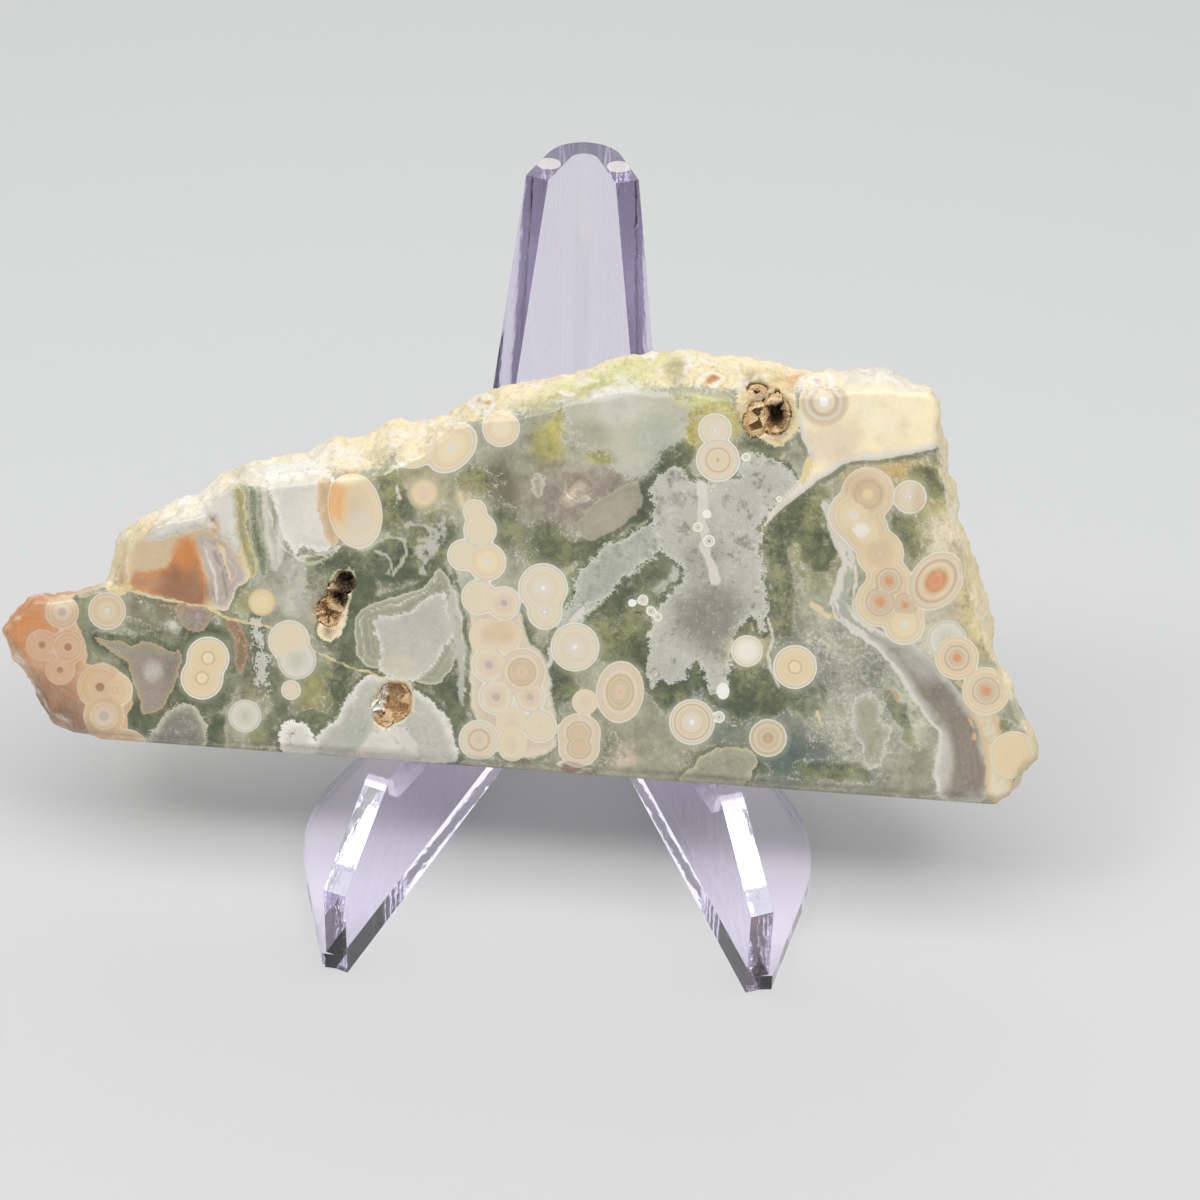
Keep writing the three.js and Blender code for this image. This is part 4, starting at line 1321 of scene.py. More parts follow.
def mossy_ground(start, noises, look):
    """The clouded ground with moss grown through it, and pale lacework round the moss."""
    drift, broad, tuft, fine, grain, _, speck = noises
    ground = attribute(start, "ground", "Color")
    ground = ((broad + fine * 0.4).smooth(0.0, 0.3) * 0.35).mix(ground, rgba("mist"))
    ground = ((broad * -1.0 - fine * 0.5).smooth(0.0, 0.3) * 0.4).mix(ground, rgba("slate"))
    tone = attribute(start, "moss_tone", "Color")
    tone = (speck * 0.5 + broad * 1.4 + drift).smooth(-0.3, 0.2).mix(rgba("deep_moss"), tone)
    tone = ((speck * 0.5 + tuft * 1.2 - broad + drift).smooth(0.0, 0.5) * 0.7).mix(tone, rgba("pale_moss"))
    open_ground = (attribute(start, "patch_edge") * -1.0 + tuft * 2.0).smooth(0.3, 2.2)
    tone = (open_ground * (drift + broad).smooth(-0.1, 0.2) * 0.3).mix(tone, rgba("olive"))
    grown = attribute(start, "moss") * 3.2 - 1.3 + tuft * 3.2 + broad * 2.6 + grain * 1.0
    ground = (grown.smooth(-0.8, 0.8) * look.moss_depth).mix(ground, tone)
    lacework = (1.0 - abs(grown + 0.2).smooth(0.0, 0.5)) * speck.smooth(-0.08, 0.2)
    ground = (lacework * 0.6).mix(ground, rgba("milk"))
    return scaled(start, ground, 1.0 + drift * 0.8 + broad * 0.8 + tuft * 0.6 + grain * 0.2)


def lacy_patch(start, noises):
    """A patch's colour and how surely it covers, then the line on its edge in the same way."""
    drift, broad, tuft, fine, grain, _, speck = noises
    lace, bands, grainy, softness = components(start, "patch_style")
    edge = attribute(start, "patch_edge") + lace * (tuft * 1.9 + grain * 1.3)
    line = attribute(start, "patch_line", "Color")
    strength = line.beside("Alpha")
    patch = attribute(start, "patch", "Color")
    dull = (drift + broad * 1.5 + tuft * 0.5).smooth(0.0, 0.35)
    patch = (dull * (grainy + 0.15) * 0.5).mix(patch, rgba("slate"))
    patch = ((tuft - broad).smooth(0.0, 0.35) * lace.smooth(0.1, 0.6) * 0.5).mix(patch, rgba("milk"))
    growth = ((edge + broad * 0.8) * BAND_STEP).sine().smooth(-0.4, 0.9)
    patch = (growth * bands * 0.25).mix(patch, rgba("snow"))
    blotch = (broad + tuft * 1.2 + fine * 0.6).smooth(0.0, 0.4)
    patch = (blotch * grainy * edge.smooth(0.3, 1.6) * 0.7).mix(patch, rgba("slate"))
    patch = ((fine + grain * 0.3 - tuft * 0.6).smooth(0.06, 0.3) * grainy * 0.4).mix(patch, rgba("snow"))
    patch = scaled(start, patch, 1.0 + drift * 0.5 + broad * 0.4 + tuft * 0.2)
    fringe = (1.0 - edge.smooth(0.1, 0.9)) * (speck + 0.1).smooth(-0.1, 0.2)
    patch = (fringe * strength * lace.smooth(0.2, 0.5) * 0.8).mix(patch, line)
    inside = (edge / softness).smooth(-0.5, 0.6)
    bare = (tuft * 1.6 + broad * 1.2 + grain * 0.5).smooth(0.05, 0.55) * grainy * 0.6
    pale_line = 1.0 - abs(edge - 0.05).smooth(0.02, 0.17)
    return patch, inside * (1.0 - bare), line, pale_line * strength * 0.8


def ringed_orb(start, noises):
    """An orb's colour, how surely it covers, and the strength of the pale halo round it."""
    _, broad, _, fine, *_ = noises
    outline, rings, heart_size, ring_at = components(start, "orb_style")
    rim = attribute(start, "orb_rim") + fine * 0.05 + broad * 0.04
    middle = attribute(start, "orb_middle") + fine * 0.12
    ring_place = start.node("ShaderNodeCombineXYZ", None, {0: rim * RING_STEP, 1: heart_size * RING_CHANGE})
    ring = noise(start, ring_place, 1.0, 2, 0.7).smooth(0.35, 0.65)
    orb = attribute(start, "orb", "Color")
    orb = (ring * rings * 0.2).mix(orb, rgba("tan"), "MULTIPLY")
    orb = ((1.0 - ring) * rings * 0.4).mix(orb, rgba("milk"))
    orb = (broad.smooth(0.0, 0.3) * 0.3).mix(orb, rgba("milk"))
    circle = (1.0 - abs(middle - ring_at).smooth(0.04, 0.2)) * ring_at.smooth(0.0, 0.1)
    orb = (circle * 0.6).mix(orb, rgba("tan"))
    heart = (1.0 - (middle - heart_size).smooth(-0.1, 0.1)) * heart_size.smooth(0.05, 0.2)
    orb = (heart * 0.75).mix(orb, attribute(start, "heart", "Color"))
    pale_rim = (1.0 - abs(rim - PALE_RIM).smooth(0.03, 0.10)) * outline
    dark_rim = (1.0 - abs(rim - DARK_RIM).smooth(0.02, 0.1)) * outline
    orb = (dark_rim * 0.35).mix(orb, rgba("olive"))
    orb = (pale_rim * 0.55).mix(orb, rgba("snow"))
    halo = (1.0 - (rim * -1.0 + fine * 0.4).smooth(0.0, 0.9)) * outline.smooth(0.0, 0.6)
    return orb, rim.smooth(-0.07, 0.07), halo * 0.28


def jasper_material(look):
    """Polished orbicular jasper: mossy ground, lacy chalcedony, veins, ringed orbs and a broken rind."""
    material, output, start = new_material("ocean jasper")
    place = object_place(start)
    noises = stone_noises(start, place)
    _, broad, tuft, fine, _, swirl, _ = noises
    patch, cover, line, line_cover = lacy_patch(start, noises)
    colour = cover.mix(mossy_ground(start, noises, look), patch)
    filaments = 1.0 - abs(swirl + fine * 0.15).smooth(0.0, 0.06)
    cloud = attribute(start, "frost") * 1.8 - 1.1 + filaments * 0.3 + swirl * 2.6 + tuft * 1.3 + broad * 0.8
    colour = (cloud.smooth(0.0, 1.0) * 0.6).mix(colour, rgba("milk"))
    colour = line_cover.mix(colour, line)
    vein = (attribute(start, "vein") + fine * 0.5).smooth(0.2, 0.8)
    colour = (vein * 0.85).mix(colour, attribute(start, "vein_tone", "Color"))
    orb, orb_cover, halo = ringed_orb(start, noises)
    colour = halo.mix(colour, rgba("pale_green"))
    colour = orb_cover.mix(colour, orb)

    broken = attribute(start, "broken")
    crumb = noise(start, place, 1.6, 5, 0.65)
    rind = attribute(start, "rind", "Color")
    rind = (crumb.smooth(0.5, 0.72) * 0.35).mix(rind, rgba("snow"))
    rind = (crumb.smooth(0.5, 0.3) * 0.3).mix(rind, rgba("rust"), "MULTIPLY")
    covered = attribute(start, "covered") + crumb.smooth(0.35, 0.65) * 0.3 - 0.15
    colour = (covered.smooth(0.15, 0.8) * look.rind_cover).mix(colour, rind)
    shade(start, output, {
        "Base Color": colour,
        "Roughness": broken * 0.42 + (fine * 0.1 + look.polish),
        "Normal": bump(start, 0.6, 0.25, noise(start, place, 3.0, 6, 0.6) * broken),
        "IOR": QUARTZ_REFRACTION,
    })
    return material


def druse_material(look):
    """Small quartz crystals stained by iron, with painted shade that darkens them in their pocket's hollows.
    """
    material, output, start = new_material("iron-stained quartz")
    place = object_place(start)
    patchy = noise(start, place, 0.9, 4)
    grain = noise(start, place, 5.0, 3)
    colour = patchy.smooth(0.35, 0.65).mix((*look.stain, 1.0), (*look.pale, 1.0))
    # painted shade: the crystals darken towards the hollow shade colour where the pockets are deepest
    shaded = (attribute(start, "hollow") + patchy * 0.4).smooth(0.3, 1.0)
    colour = (shaded * 0.95).mix(colour, (*look.hollow, 1.0))
    colour = (grain.smooth(0.55, 0.4) * 0.4).mix(colour, rgba("tan"), "MULTIPLY")
    clean = (attribute(start, "clean") + patchy * 0.6).smooth(0.55, 0.95)
    colour = (clean * 0.9).mix(colour, rgba("snow"))
    shade(start, output, {
        "Base Color": colour,
        "Roughness": 0.22 + grain * 0.25,
        "Normal": bump(start, 0.4, 0.1, grain),
        "IOR": QUARTZ_REFRACTION,
    })
    return material


MARK_ASIDE = 4.5  # mm from the easel's middle to its two frosted ejector marks
MARK_BEHIND = 58.5  # and from its own origin back to them
MARK_RADIUS = 1.6
MARK_ABOVE = (86.0, 87.0)  # mm above the table between which they appear


def plastic_material(look):
    """Clear moulded plastic with a faint tint, frosted ejector marks and a few specks of dust."""
    material, output, start = new_material("clear moulded plastic")
    place = object_place(start)
    shader = shade(start, output, {
        "Base Color": (*look.tint, 1.0),
        "Roughness": 0.03,
        "Normal": bump(start, 0.12, 0.3, noise(start, place, 0.35, 2)),
        "IOR": PLASTIC_REFRACTION,
        "Transmission Weight": 1.0,
    })
    origin = easel_origin() / MM
    across, back, height = axes_of(start, place)
    aside = abs(across - origin.x) - MARK_ASIDE
    behind = back - (origin.y + MARK_BEHIND)
    reach = (aside * aside + behind * behind).maths("SQRT")
    mark = (1.0 - reach.smooth(MARK_RADIUS - 0.1, MARK_RADIUS)) * height.smooth(*MARK_ABOVE)
    dust = noise(start, place, 2.2, 2).smooth(0.72, 0.75)
    frost = start.node("ShaderNodeBsdfDiffuse", None, {"Color": rgba("snow")})
    both = start.node("ShaderNodeMixShader", None, {0: mark * 0.5 + dust * 0.3, 1: shader, 2: frost})
    start.tree.links.new(both.socket, output.inputs["Surface"])
    tinting = {"Color": (*look.tint, 1.0), "Density": look.depth}
    absorption = start.node("ShaderNodeVolumeAbsorption", None, tinting)
    start.tree.links.new(absorption.socket, output.inputs["Volume"])
    return material


def paper_material(look):
    """A plain pale studio floor with the faintest tooth."""
    material, output, start = new_material("studio floor")
    place = object_place(start)
    tooth = noise(start, place, 0.8, 3)
    colour = (tooth * 0.05).mix((*look.floor, 1.0), rgba("smoke"))
    shade(start, output, {"Base Color": colour, "Roughness": 0.75})
    return material


# ---------------------------------------------------------------- the slab

VOXEL = 0.63  # mm, the side of the even squares
ON_FACE = 0.14  # remeshed points this near the face lie on it
DRAWN_BACK = 0.85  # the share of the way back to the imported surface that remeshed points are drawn
UPPER_RIM = 0.4  # the rim is finer where it faces up by more than this
CRUMBLE = (0.28, 1.5)  # mm that the broken rim is roughened by, and between its swells
FINE_CRUMBLE = (0.09, 0.5)
FACING_OUT = (0.72, 0.93)  # how squarely a face looks forward or back, from the rim to a sawn side
RIM_BEHIND = (0.05, 0.5)  # mm behind the face between which the rim begins
FACING_DOWN = (0.55, 0.8)  # how squarely a face looks down, from the rim to the sawn lower edge
FOOT_HEIGHT = (0.8, 1.6)  # mm up the slab between which that edge ends
RIND_START = 0.2  # mm behind the face where the rind begins to thicken
RIND_FULL = 2.6  # and where it is thickest
RIND_WAVER = (0.7, 5)  # mm that these depths waver by, and between the swells
THIN_RIND = 0.45  # how far the rind hides the pattern where it is thin


def remeshed_slab(axes):
    """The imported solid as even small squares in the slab's own axes, the polished face finer and flat."""
    mesh = merged_copy("jasper_slab")
    set_points(mesh, axes.inside(mesh_points(mesh)))
    packed = surface_tree(mesh)
    piece = workpiece(mesh)
    remesh = piece.modifiers.new("even squares", "REMESH")
    remesh.mode = "VOXEL"
    remesh.voxel_size = VOXEL
    mesh = evaluated_mesh(piece)
    points = mesh_points(mesh)
    points[np.abs(points[:, 2]) < ON_FACE, 2] = 0.0
    set_points(mesh, points)

    work = bmesh.new()
    work.from_mesh(mesh)
    work.normal_update()
    seen = {vertex for vertex in work.verts if vertex.co.z == 0.0 or vertex.normal.y > UPPER_RIM}
    finer = [edge for edge in work.edges if seen.issuperset(edge.verts)]
    bmesh.ops.subdivide_edges(work, edges=finer, cuts=1, use_grid_fill=True)
    bmesh.ops.triangulate(work, faces=[face for face in work.faces if len(face.verts) > 4])
    for vertex in work.verts:
        near = packed.find_nearest(vertex.co)[0]
        vertex.co = vertex.co.lerp(near, DRAWN_BACK)
    work.to_mesh(mesh)
    work.free()
    return mesh


def broken_share(points, normals):
    """1 on the broken rim and 0 on the polished face, the sawn back and the sawn lower edge."""
    side = 1 - ramp(np.abs(normals[:, 2]), *FACING_OUT)
    behind_face = ramp(points[:, 2], *RIM_BEHIND)
    sawn_foot = ramp(-normals[:, 1], *FACING_DOWN) * (1 - ramp(points[:, 1], *FOOT_HEIGHT))
    return side * behind_face * (1 - sawn_foot)


def jasper_slab(look):
    """The slab with its rim crumbled and its pattern kept at its points."""
    axes = SlabAxes()
    mesh = remeshed_slab(axes)
    points = mesh_points(mesh)
    normals = vertex_normals(mesh)
    broken = broken_share(points, normals)
    height, size = CRUMBLE
    fine_height, fine_size = FINE_CRUMBLE
    rough = swell(points, size, 41) * height + swell(points, fine_size, 42, 2) * fine_height
    points = points + normals * (rough * broken)[:, None]
    world = axes.outside(points)
    px, py = picture_place(world)
    for name, values in paint(px, py, np.clip(points[:, 2], 0, None)).items():
        store(mesh, name, values)
    store(mesh, "broken", broken)
    waver, wave = RIND_WAVER
    full_rind = ramp(points[:, 2] + waver * swell(points, wave, 43), RIND_START, RIND_FULL)
    store(mesh, "covered", broken * (THIN_RIND + (1 - THIN_RIND) * full_rind))
    set_points(mesh, world)
    mesh.name = "jasper_slab_stone"
    mesh.materials.clear()
    mesh.materials.append(jasper_material(look))
    mesh.shade_smooth()
    finished("jasper_slab_stone", mesh, "jasper_slab")


# ---------------------------------------------------------------- crystals

POCKETS = ("top", "slit", "middle")
WALLED_ABOVE = (0.9, 2.2)  # mm behind the face; nearer to it a crust is drawn out to the pocket's wall
WALLED_WITHIN = 1.1  # from no further away than this
BARE_ABOVE = (0.25, 0.8)  # mm behind the face between which crystals begin to stand
HIDDEN_WITHIN = 0.35  # a crust's face with stone this near in front of it, in mm, is its hidden side
CLEAR_OF_ITSELF = 0.02  # mm in front of a face where the look for stone begins
SIDES = 6
ROOT = -0.6  # heights along a crystal, as shares of its width
SHOULDER = 0.5
TIP = (0.06, 0.03, 1.1)
CRYSTALS_PER_SQUARE_METRE = 3.0e7  # more than the spacing lets stand
LEANING = 0.45  # radians each way
SMALLEST = 0.55  # a crystal's size, as shares of the average
LARGEST = 1.25

# Where the pockets are deepest, in the picture; there the crystals are darkened as painted shade.
PAINTED_HOLLOW_SHADE = {
    "top": Spot(776, 411, 13, 16, 0.7, 20),
    "top's notch": Spot(757, 390, 9, 7, 0.2),
    "slit": Spot(345, 585, 15, 30, 0.85, 14),
    "middle": Spot(405, 706, 8, 10, 0.2),
}

# Where clean pale crystals stand among the stained ones.
CLEAN = {
    "middle's left": Spot(371, 694, 20, 27),
    "middle's foot": Spot(406, 733, 22, 10, 1.0, -24),
}


def crystal_mesh():
    """One six-sided quartz point along +Z, 1 across and 1.7 long, its root sunk below the origin."""
    work = bmesh.new()
    turns = [math.tau * n / SIDES for n in range(SIDES)]
    root, shoulder = (
        [work.verts.new((0.5 * math.cos(turn), 0.5 * math.sin(turn), height)) for turn in turns]
        for height in (ROOT, SHOULDER)
    )
    tip = work.verts.new(TIP)
    for n in range(SIDES):
        after = (n + 1) % SIDES
        work.faces.new((root[n], root[after], shoulder[after], shoulder[n]))
        work.faces.new((shoulder[n], shoulder[after], tip))
    work.faces.new(root[::-1])
    return mesh_of(work, "crystal")


def crystal_tree(material, crystal, look):
    """Geometry nodes that stand crystals all over a crust, each leaning and sized a little differently."""
    tree = bpy.data.node_groups.new("crystal crust", "GeometryNodeTree")
    face = tree.interface
    face.new_socket("Geometry", in_out="INPUT", socket_type="NodeSocketGeometry")
    for name, kind, default in (
        ("Spacing", "NodeSocketFloat", look.spacing),
        ("Size", "NodeSocketFloat", look.size),
        ("Seed", "NodeSocketInt", look.seed),
    ):
        face.new_socket(name, in_out="INPUT", socket_type=kind).default_value = default
    face.new_socket("Geometry", in_out="OUTPUT", socket_type="NodeSocketGeometry")

    start = Value(tree)
    given = start.node("NodeGroupInput", None, None, "Geometry")
    seed = given.beside("Seed")
    grow = start.node("GeometryNodeInputNamedAttribute", {"data_type": "FLOAT"}, {
        "Name": "grow",
    }, "Attribute")
    spread = start.node("GeometryNodeDistributePointsOnFaces", {"distribute_method": "POISSON"}, {
        "Mesh": given, "Distance Min": given.beside("Spacing"), "Density Max": CRYSTALS_PER_SQUARE_METRE,
        "Density Factor": grow, "Seed": seed,
    }, "Points")
    lean = start.node("FunctionNodeRandomValue", {"data_type": "FLOAT_VECTOR"}, {
        "Min": (-LEANING, -LEANING, 0.0), "Max": (LEANING, LEANING, math.tau), "Seed": seed,
    }, 0)
    turn = start.node("FunctionNodeRotateRotation", {"rotation_space": "LOCAL"}, {
        "Rotation": spread.beside("Rotation"), "Rotate By": lean,
    })
    scale = start.node("FunctionNodeRandomValue", {"data_type": "FLOAT"}, {
        "Min": SMALLEST, "Max": LARGEST, "Seed": seed,
    }, 1)
    source = start.node("GeometryNodeObjectInfo", None, {"Object": crystal}, "Geometry")
    points = start.node("GeometryNodeInstanceOnPoints", None, {
        "Points": spread, "Instance": source, "Rotation": turn, "Scale": scale * given.beside("Size"),
    })
    both = start.node("GeometryNodeJoinGeometry", None, {0: points})
    tree.links.new(given.socket, both.socket.node.inputs[0])
    real = start.node("GeometryNodeRealizeInstances", None, {"Geometry": both})
    dressed = start.node("GeometryNodeSetMaterial", None, {"Geometry": real, "Material": material})
    result = tree.nodes.new("NodeGroupOutput")
    tree.links.new(dressed.socket, result.inputs["Geometry"])
    return tree


def grown_crust(node, axes, stone):
    """A pocket's crust drawn out to the pocket's wall, with where crystals grow kept at its points."""
    mesh = merged_copy(node)
    world = mesh_points(mesh)
    deep = axes.inside(world)[:, 2]
    drawn = 1 - ramp(deep, *WALLED_ABOVE)
    for number, point in enumerate(world):
        near, _, _, away = stone.find_nearest(Vector(point))
        if away < WALLED_WITHIN * MM:
            world[number] += (np.array(near) - point) * drawn[number]
    set_points(mesh, world)
    grow = ramp(deep, *BARE_ABOVE)
    for number, (point, normal) in enumerate(zip(world, vertex_normals(mesh))):
        start = Vector(point) + Vector(normal) * MM * CLEAR_OF_ITSELF
        if stone.ray_cast(start, Vector(normal), HIDDEN_WITHIN * MM)[0]:
            grow[number] = 0.0
    place = picture_place(world)
    store(mesh, "grow", grow)
    # how strongly painted shade darkens each point, from the spots where the pockets are deepest
    store(mesh, "hollow", density(*place, PAINTED_HOLLOW_SHADE))
    store(mesh, "clean", density(*place, CLEAN))
    return mesh


def pocket_crystals(look):
    """The three pockets' crusts with small quartz points standing on them."""
    crystal = workpiece(crystal_mesh())
    tree = crystal_tree(druse_material(look), crystal, look)
    sockets = {item.name: item.identifier for item in tree.interface.items_tree if item.in_out == "INPUT"}
    axes = SlabAxes()
    stone = surface_tree(merged_copy("jasper_slab"))
    for pocket in POCKETS:
        node = f"pocket_druse_{pocket}"
        piece = workpiece(grown_crust(node, axes, stone))
        modifier = piece.modifiers.new("crystals", "NODES")
        modifier.node_group = tree
        modifier[sockets["Spacing"]] = look.spacing
        modifier[sockets["Size"]] = look.size
        modifier[sockets["Seed"]] = look.seed
        mesh = evaluated_mesh(piece)
        mesh.name = f"{node}_crystals"
        finished(mesh.name, mesh, node)
    bpy.data.objects.remove(crystal)


# ---------------------------------------------------------------- the easel

FLAT_WITHIN = math.radians(1.0)  # facets that turn by less than this are joined into one wall
CURVE_WITHIN = math.radians(16.0)  # steps of the round back and the flange, shaded as one curve
EDGE_FROM = math.radians(32.0)  # edges that turn by more than this are rounded


def display_easel(look):
    """The easel with the small rounds that a moulding has on every edge."""
    piece = workpiece(merged_copy("display_easel"))
    work = bmesh.new()
    work.from_mesh(piece.data)
    bmesh.ops.dissolve_limit(work, angle_limit=FLAT_WITHIN, verts=work.verts, edges=work.edges)
    work.to_mesh(piece.data)
    work.free()
    bevel = piece.modifiers.new("moulded rounds", "BEVEL")
    bevel.width = look.edge_round
    bevel.segments = 2
    bevel.limit_method = "ANGLE"
    bevel.angle_limit = EDGE_FROM
    mesh = evaluated_mesh(piece)
    mesh.shade_smooth()
    mesh.set_sharp_from_angle(angle=CURVE_WITHIN)
    piece = workpiece(mesh)
    weighted = piece.modifiers.new("flat walls stay flat", "WEIGHTED_NORMAL")
    weighted.keep_sharp = True
    mesh = evaluated_mesh(piece)
    mesh.name = "display_easel_clear"
    mesh.materials.clear()
    mesh.materials.append(plastic_material(look))
    easel = finished("display_easel_clear", mesh, "display_easel")
    easel.visible_shadow = False  # the light that it would bend onto the floor isn't traced


# ---------------------------------------------------------------- stage, lights and camera

CLEAR_BOUNCES = 24  # light runs far inside the clear webs before it leaves them
FLOOR_GAP = 0.15 * MM  # air under the easel's foot, so that the floor is seen through it
FLOOR_SQUARES = 8  # each way
NEAREST_SEEN = 0.01  # metres from the camera
ROOM_COLOUR = (0.86, 0.88, 0.92, 1.0)
LIT_POINT = (0.0, 0.0, 0.045)  # metres, where the softboxes point

# Softboxes: place and size in metres, and the setting that holds the power.
SOFTBOXES = {
    "overhead": ((0.0, -0.12, 0.64), (0.95, 0.5), "overhead"),
    "left": ((-0.37, -0.27, 0.59), (0.17, 0.17), "side"),
    "right": ((0.355, -0.275, 0.60), (0.17, 0.17), "side"),
    "rear": ((0.0, 0.75, 0.50), (0.9, 0.5), "rear"),
}


def studio_floor(look):
    """A level square of floor just under the easel's foot."""
    work = bmesh.new()
    bmesh.ops.create_grid(work, x_segments=FLOOR_SQUARES, y_segments=FLOOR_SQUARES, size=look.floor_size / 2)
    mesh = mesh_of(work, "floor")
    mesh.materials.append(paper_material(look))
    mesh.transform(Matrix.Translation((0.0, 0.0, -FLOOR_GAP)))
    floor = bpy.data.objects.new("floor", mesh)
    bpy.context.scene.collection.objects.link(floor)


def softbox(name, place, size, power):
    """An area light that points at the slab."""
    light = bpy.data.lights.new(name, "AREA")
    light.shape = "RECTANGLE"
    light.size, light.size_y = size
    light.energy = power
    holder = bpy.data.objects.new(name, light)
    holder.location = place
    holder.rotation_euler = (Vector(LIT_POINT) - Vector(place)).to_track_quat("-Z", "Y").to_euler()
    bpy.context.scene.collection.objects.link(holder)


def camera_at_view():
    """The camera of the main picture, set from the view's own angles."""
    origin = easel_origin()
    pitch_c, pitch_s = math.cos(PITCH), math.sin(PITCH)
    roll_c, roll_s = math.cos(ROLL), math.sin(ROLL)

    def level(x, y, z):
        return Vector((*turned(x, y, YAW), z))

    right = level(roll_c, -roll_s * pitch_s, -roll_s * pitch_c)
    up = level(roll_s, roll_c * pitch_s, roll_c * pitch_c)
    ahead = level(0.0, pitch_c, -pitch_s)
    place = origin + level(AIM[0], -DISTANCE * pitch_c, AIM[1] + DISTANCE * pitch_s) * MM
    matrix = Matrix((right, up, -ahead)).transposed().to_4x4()
    matrix.translation = place
    camera = bpy.data.objects.new("camera", bpy.data.cameras.new("camera"))
    camera.data.sensor_width = SENSOR
    camera.data.lens = SENSOR * FOCAL_PIXELS / PICTURE
    camera.data.clip_start = NEAREST_SEEN
    camera.matrix_world = matrix
    bpy.context.scene.collection.objects.link(camera)
    bpy.context.scene.camera = camera


def studio(look):
    """The pale floor, the camera, the softboxes and the room's own light."""
    scene = bpy.context.scene
    studio_floor(look)
    camera_at_view()
    for name, (place, size, setting) in SOFTBOXES.items():
        softbox(name, place, size, getattr(look, setting))
    world = bpy.data.worlds.new("studio")
    world.use_nodes = True
    background = world.node_tree.nodes["Background"]
    background.inputs["Color"].default_value = ROOM_COLOUR
    background.inputs["Strength"].default_value = look.room
    scene.world = world
    scene.view_settings.view_transform = "Standard"
    cycles = scene.cycles
    cycles.max_bounces = cycles.glossy_bounces = cycles.transmission_bounces = CLEAR_BOUNCES


# ---------------------------------------------------------------- settings, operators and panel


def share_setting(name, description, default, least=0.0, most=1.0):
    """A setting that says how much of something there is."""
    return FloatProperty(
        name=name, description=description, default=default, min=least, max=most, subtype="FACTOR",
    )


def length_setting(name, description, default, least=0.0):
    """A setting in metres."""
    return FloatProperty(name=name, description=description, default=default, min=least, unit="LENGTH")


def colour_setting(name, description, default):
    """A setting that is a colour."""
    return FloatVectorProperty(
        name=name, description=description, default=default, subtype="COLOR", min=0, max=1,
    )


def power_setting(name, description, default):
    """A setting in watts."""
    return FloatProperty(name=name, description=description, default=default, min=0, unit="POWER")


class JasperLook(bpy.types.PropertyGroup):
    moss_depth: share_setting("Moss depth", "How strongly dark moss specks the ground", 0.9)
    polish: share_setting("Polish", "Roughness of the polished face", 0.16, 0.02, 0.6)
    rind_cover: share_setting("Rind cover", "How far the rind hides the pattern on the broken rim", 0.85)


class DruseLook(bpy.types.PropertyGroup):
    spacing: length_setting("Spacing", "Least distance between two crystals", 0.2 * MM, 0.1 * MM)
    size: length_setting("Size", "Width of an average crystal", 0.26 * MM, 0.1 * MM)
    seed: IntProperty(name="Seed", description="Changes how the crystals lie", default=7)
    stain: colour_setting("Stain", "Colour of the iron stain", (0.64, 0.41, 0.18))
    # colour of the painted shade in the pockets' deepest hollows
    hollow: colour_setting("Hollow", "Colour of the darkest hollows", (0.085, 0.048, 0.026))
    pale: colour_setting("Pale quartz", "Colour of the cleaner crystals", (0.80, 0.61, 0.36))


class EaselLook(bpy.types.PropertyGroup):
    edge_round: length_setting("Edge round", "Radius on the moulding's edges", 0.25 * MM)
    tint: colour_setting("Tint", "Colour of the clear plastic", (0.93, 0.90, 0.995))
    depth: FloatProperty(
        name="Tint depth", description="How fast the tint deepens with thickness", default=25.0, min=0,
    )


class StudioLook(bpy.types.PropertyGroup):
    floor: colour_setting("Floor", "Colour of the floor", (0.60, 0.60, 0.59))
    floor_size: length_setting("Floor size", "Length of the floor's side", 6.0, 1.0)
    overhead: power_setting("Overhead", "Power of the overhead softbox", 2.7)
    side: power_setting("Side", "Power of each side softbox", 0.7)
    rear: power_setting("Rear", "Power of the rear softbox", 1.2)
    room: FloatProperty(name="Room", description="Strength of the room's own light", default=0.6, min=0)


class JASPER_OT_slab(bpy.types.Operator):
    """Dress the slab as polished orbicular jasper with a broken rim"""

    bl_idname = "jasper.slab"
    bl_label = "Finish the slab"

    def execute(self, context):
        jasper_slab(context.scene.jasper_look)
        return {"FINISHED"}


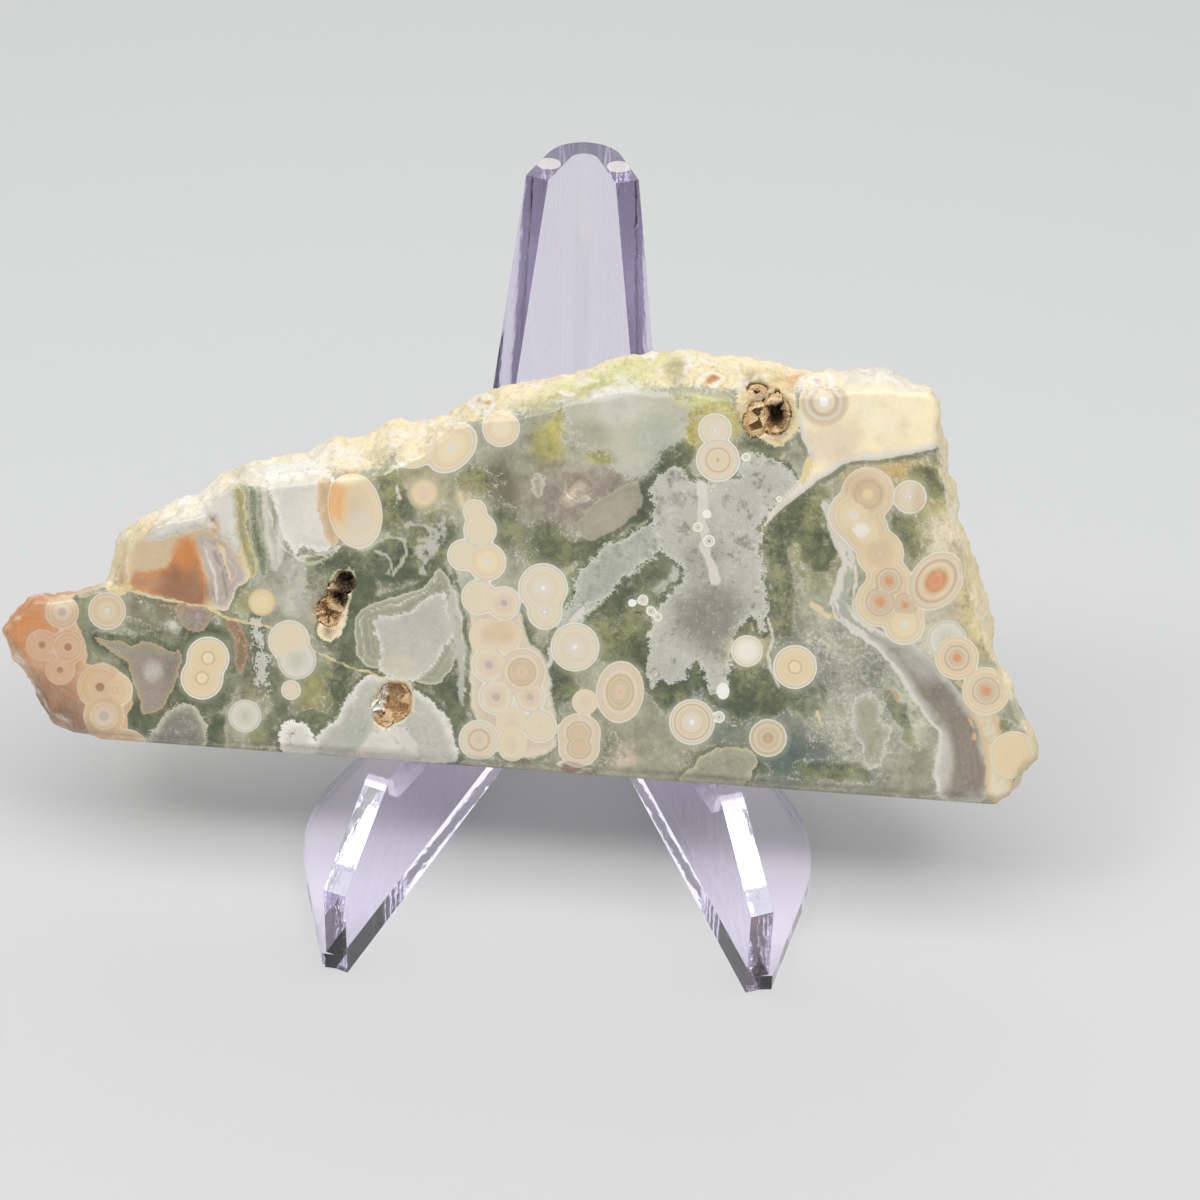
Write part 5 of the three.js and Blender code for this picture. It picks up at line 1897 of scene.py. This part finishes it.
class JASPER_OT_druse(bpy.types.Operator):
    """Grow small quartz crystals in the slab's three pockets"""

    bl_idname = "jasper.druse"
    bl_label = "Grow the crystals"

    def execute(self, context):
        pocket_crystals(context.scene.druse_look)
        return {"FINISHED"}


class JASPER_OT_easel(bpy.types.Operator):
    """Dress the display easel as clear moulded plastic"""

    bl_idname = "jasper.easel"
    bl_label = "Finish the easel"

    def execute(self, context):
        display_easel(context.scene.easel_look)
        return {"FINISHED"}


class JASPER_OT_studio(bpy.types.Operator):
    """Lay the pale floor, hang the soft lights and set the camera"""

    bl_idname = "jasper.studio"
    bl_label = "Set the stage"

    def execute(self, context):
        studio(context.scene.studio_look)
        return {"FINISHED"}


OPERATORS = (JASPER_OT_slab, JASPER_OT_druse, JASPER_OT_easel, JASPER_OT_studio)
LOOKS = {
    "jasper_look": JasperLook,
    "druse_look": DruseLook,
    "easel_look": EaselLook,
    "studio_look": StudioLook,
}


class JASPER_PT_panel(bpy.types.Panel):
    bl_label = "Jasper slab"
    bl_idname = "JASPER_PT_panel"
    bl_space_type = "VIEW_3D"
    bl_region_type = "UI"
    bl_category = "Jasper"

    def draw(self, context):
        for operator, name in zip(OPERATORS, LOOKS):
            box = self.layout.box()
            box.operator(operator.bl_idname)
            look = getattr(context.scene, name)
            for setting in look.__annotations__:
                box.prop(look, setting)


def register():
    for group in LOOKS.values():
        bpy.utils.register_class(group)
    for name, group in LOOKS.items():
        setattr(bpy.types.Scene, name, PointerProperty(type=group))
    for kind in (*OPERATORS, JASPER_PT_panel):
        bpy.utils.register_class(kind)


def unregister():
    for kind in (JASPER_PT_panel, *reversed(OPERATORS)):
        bpy.utils.unregister_class(kind)
    for name in LOOKS:
        delattr(bpy.types.Scene, name)
    for group in reversed(LOOKS.values()):
        bpy.utils.unregister_class(group)


def main():
    register()
    for step in (bpy.ops.jasper.slab, bpy.ops.jasper.druse, bpy.ops.jasper.easel, bpy.ops.jasper.studio):
        step()


if __name__ == "__main__":
    main()
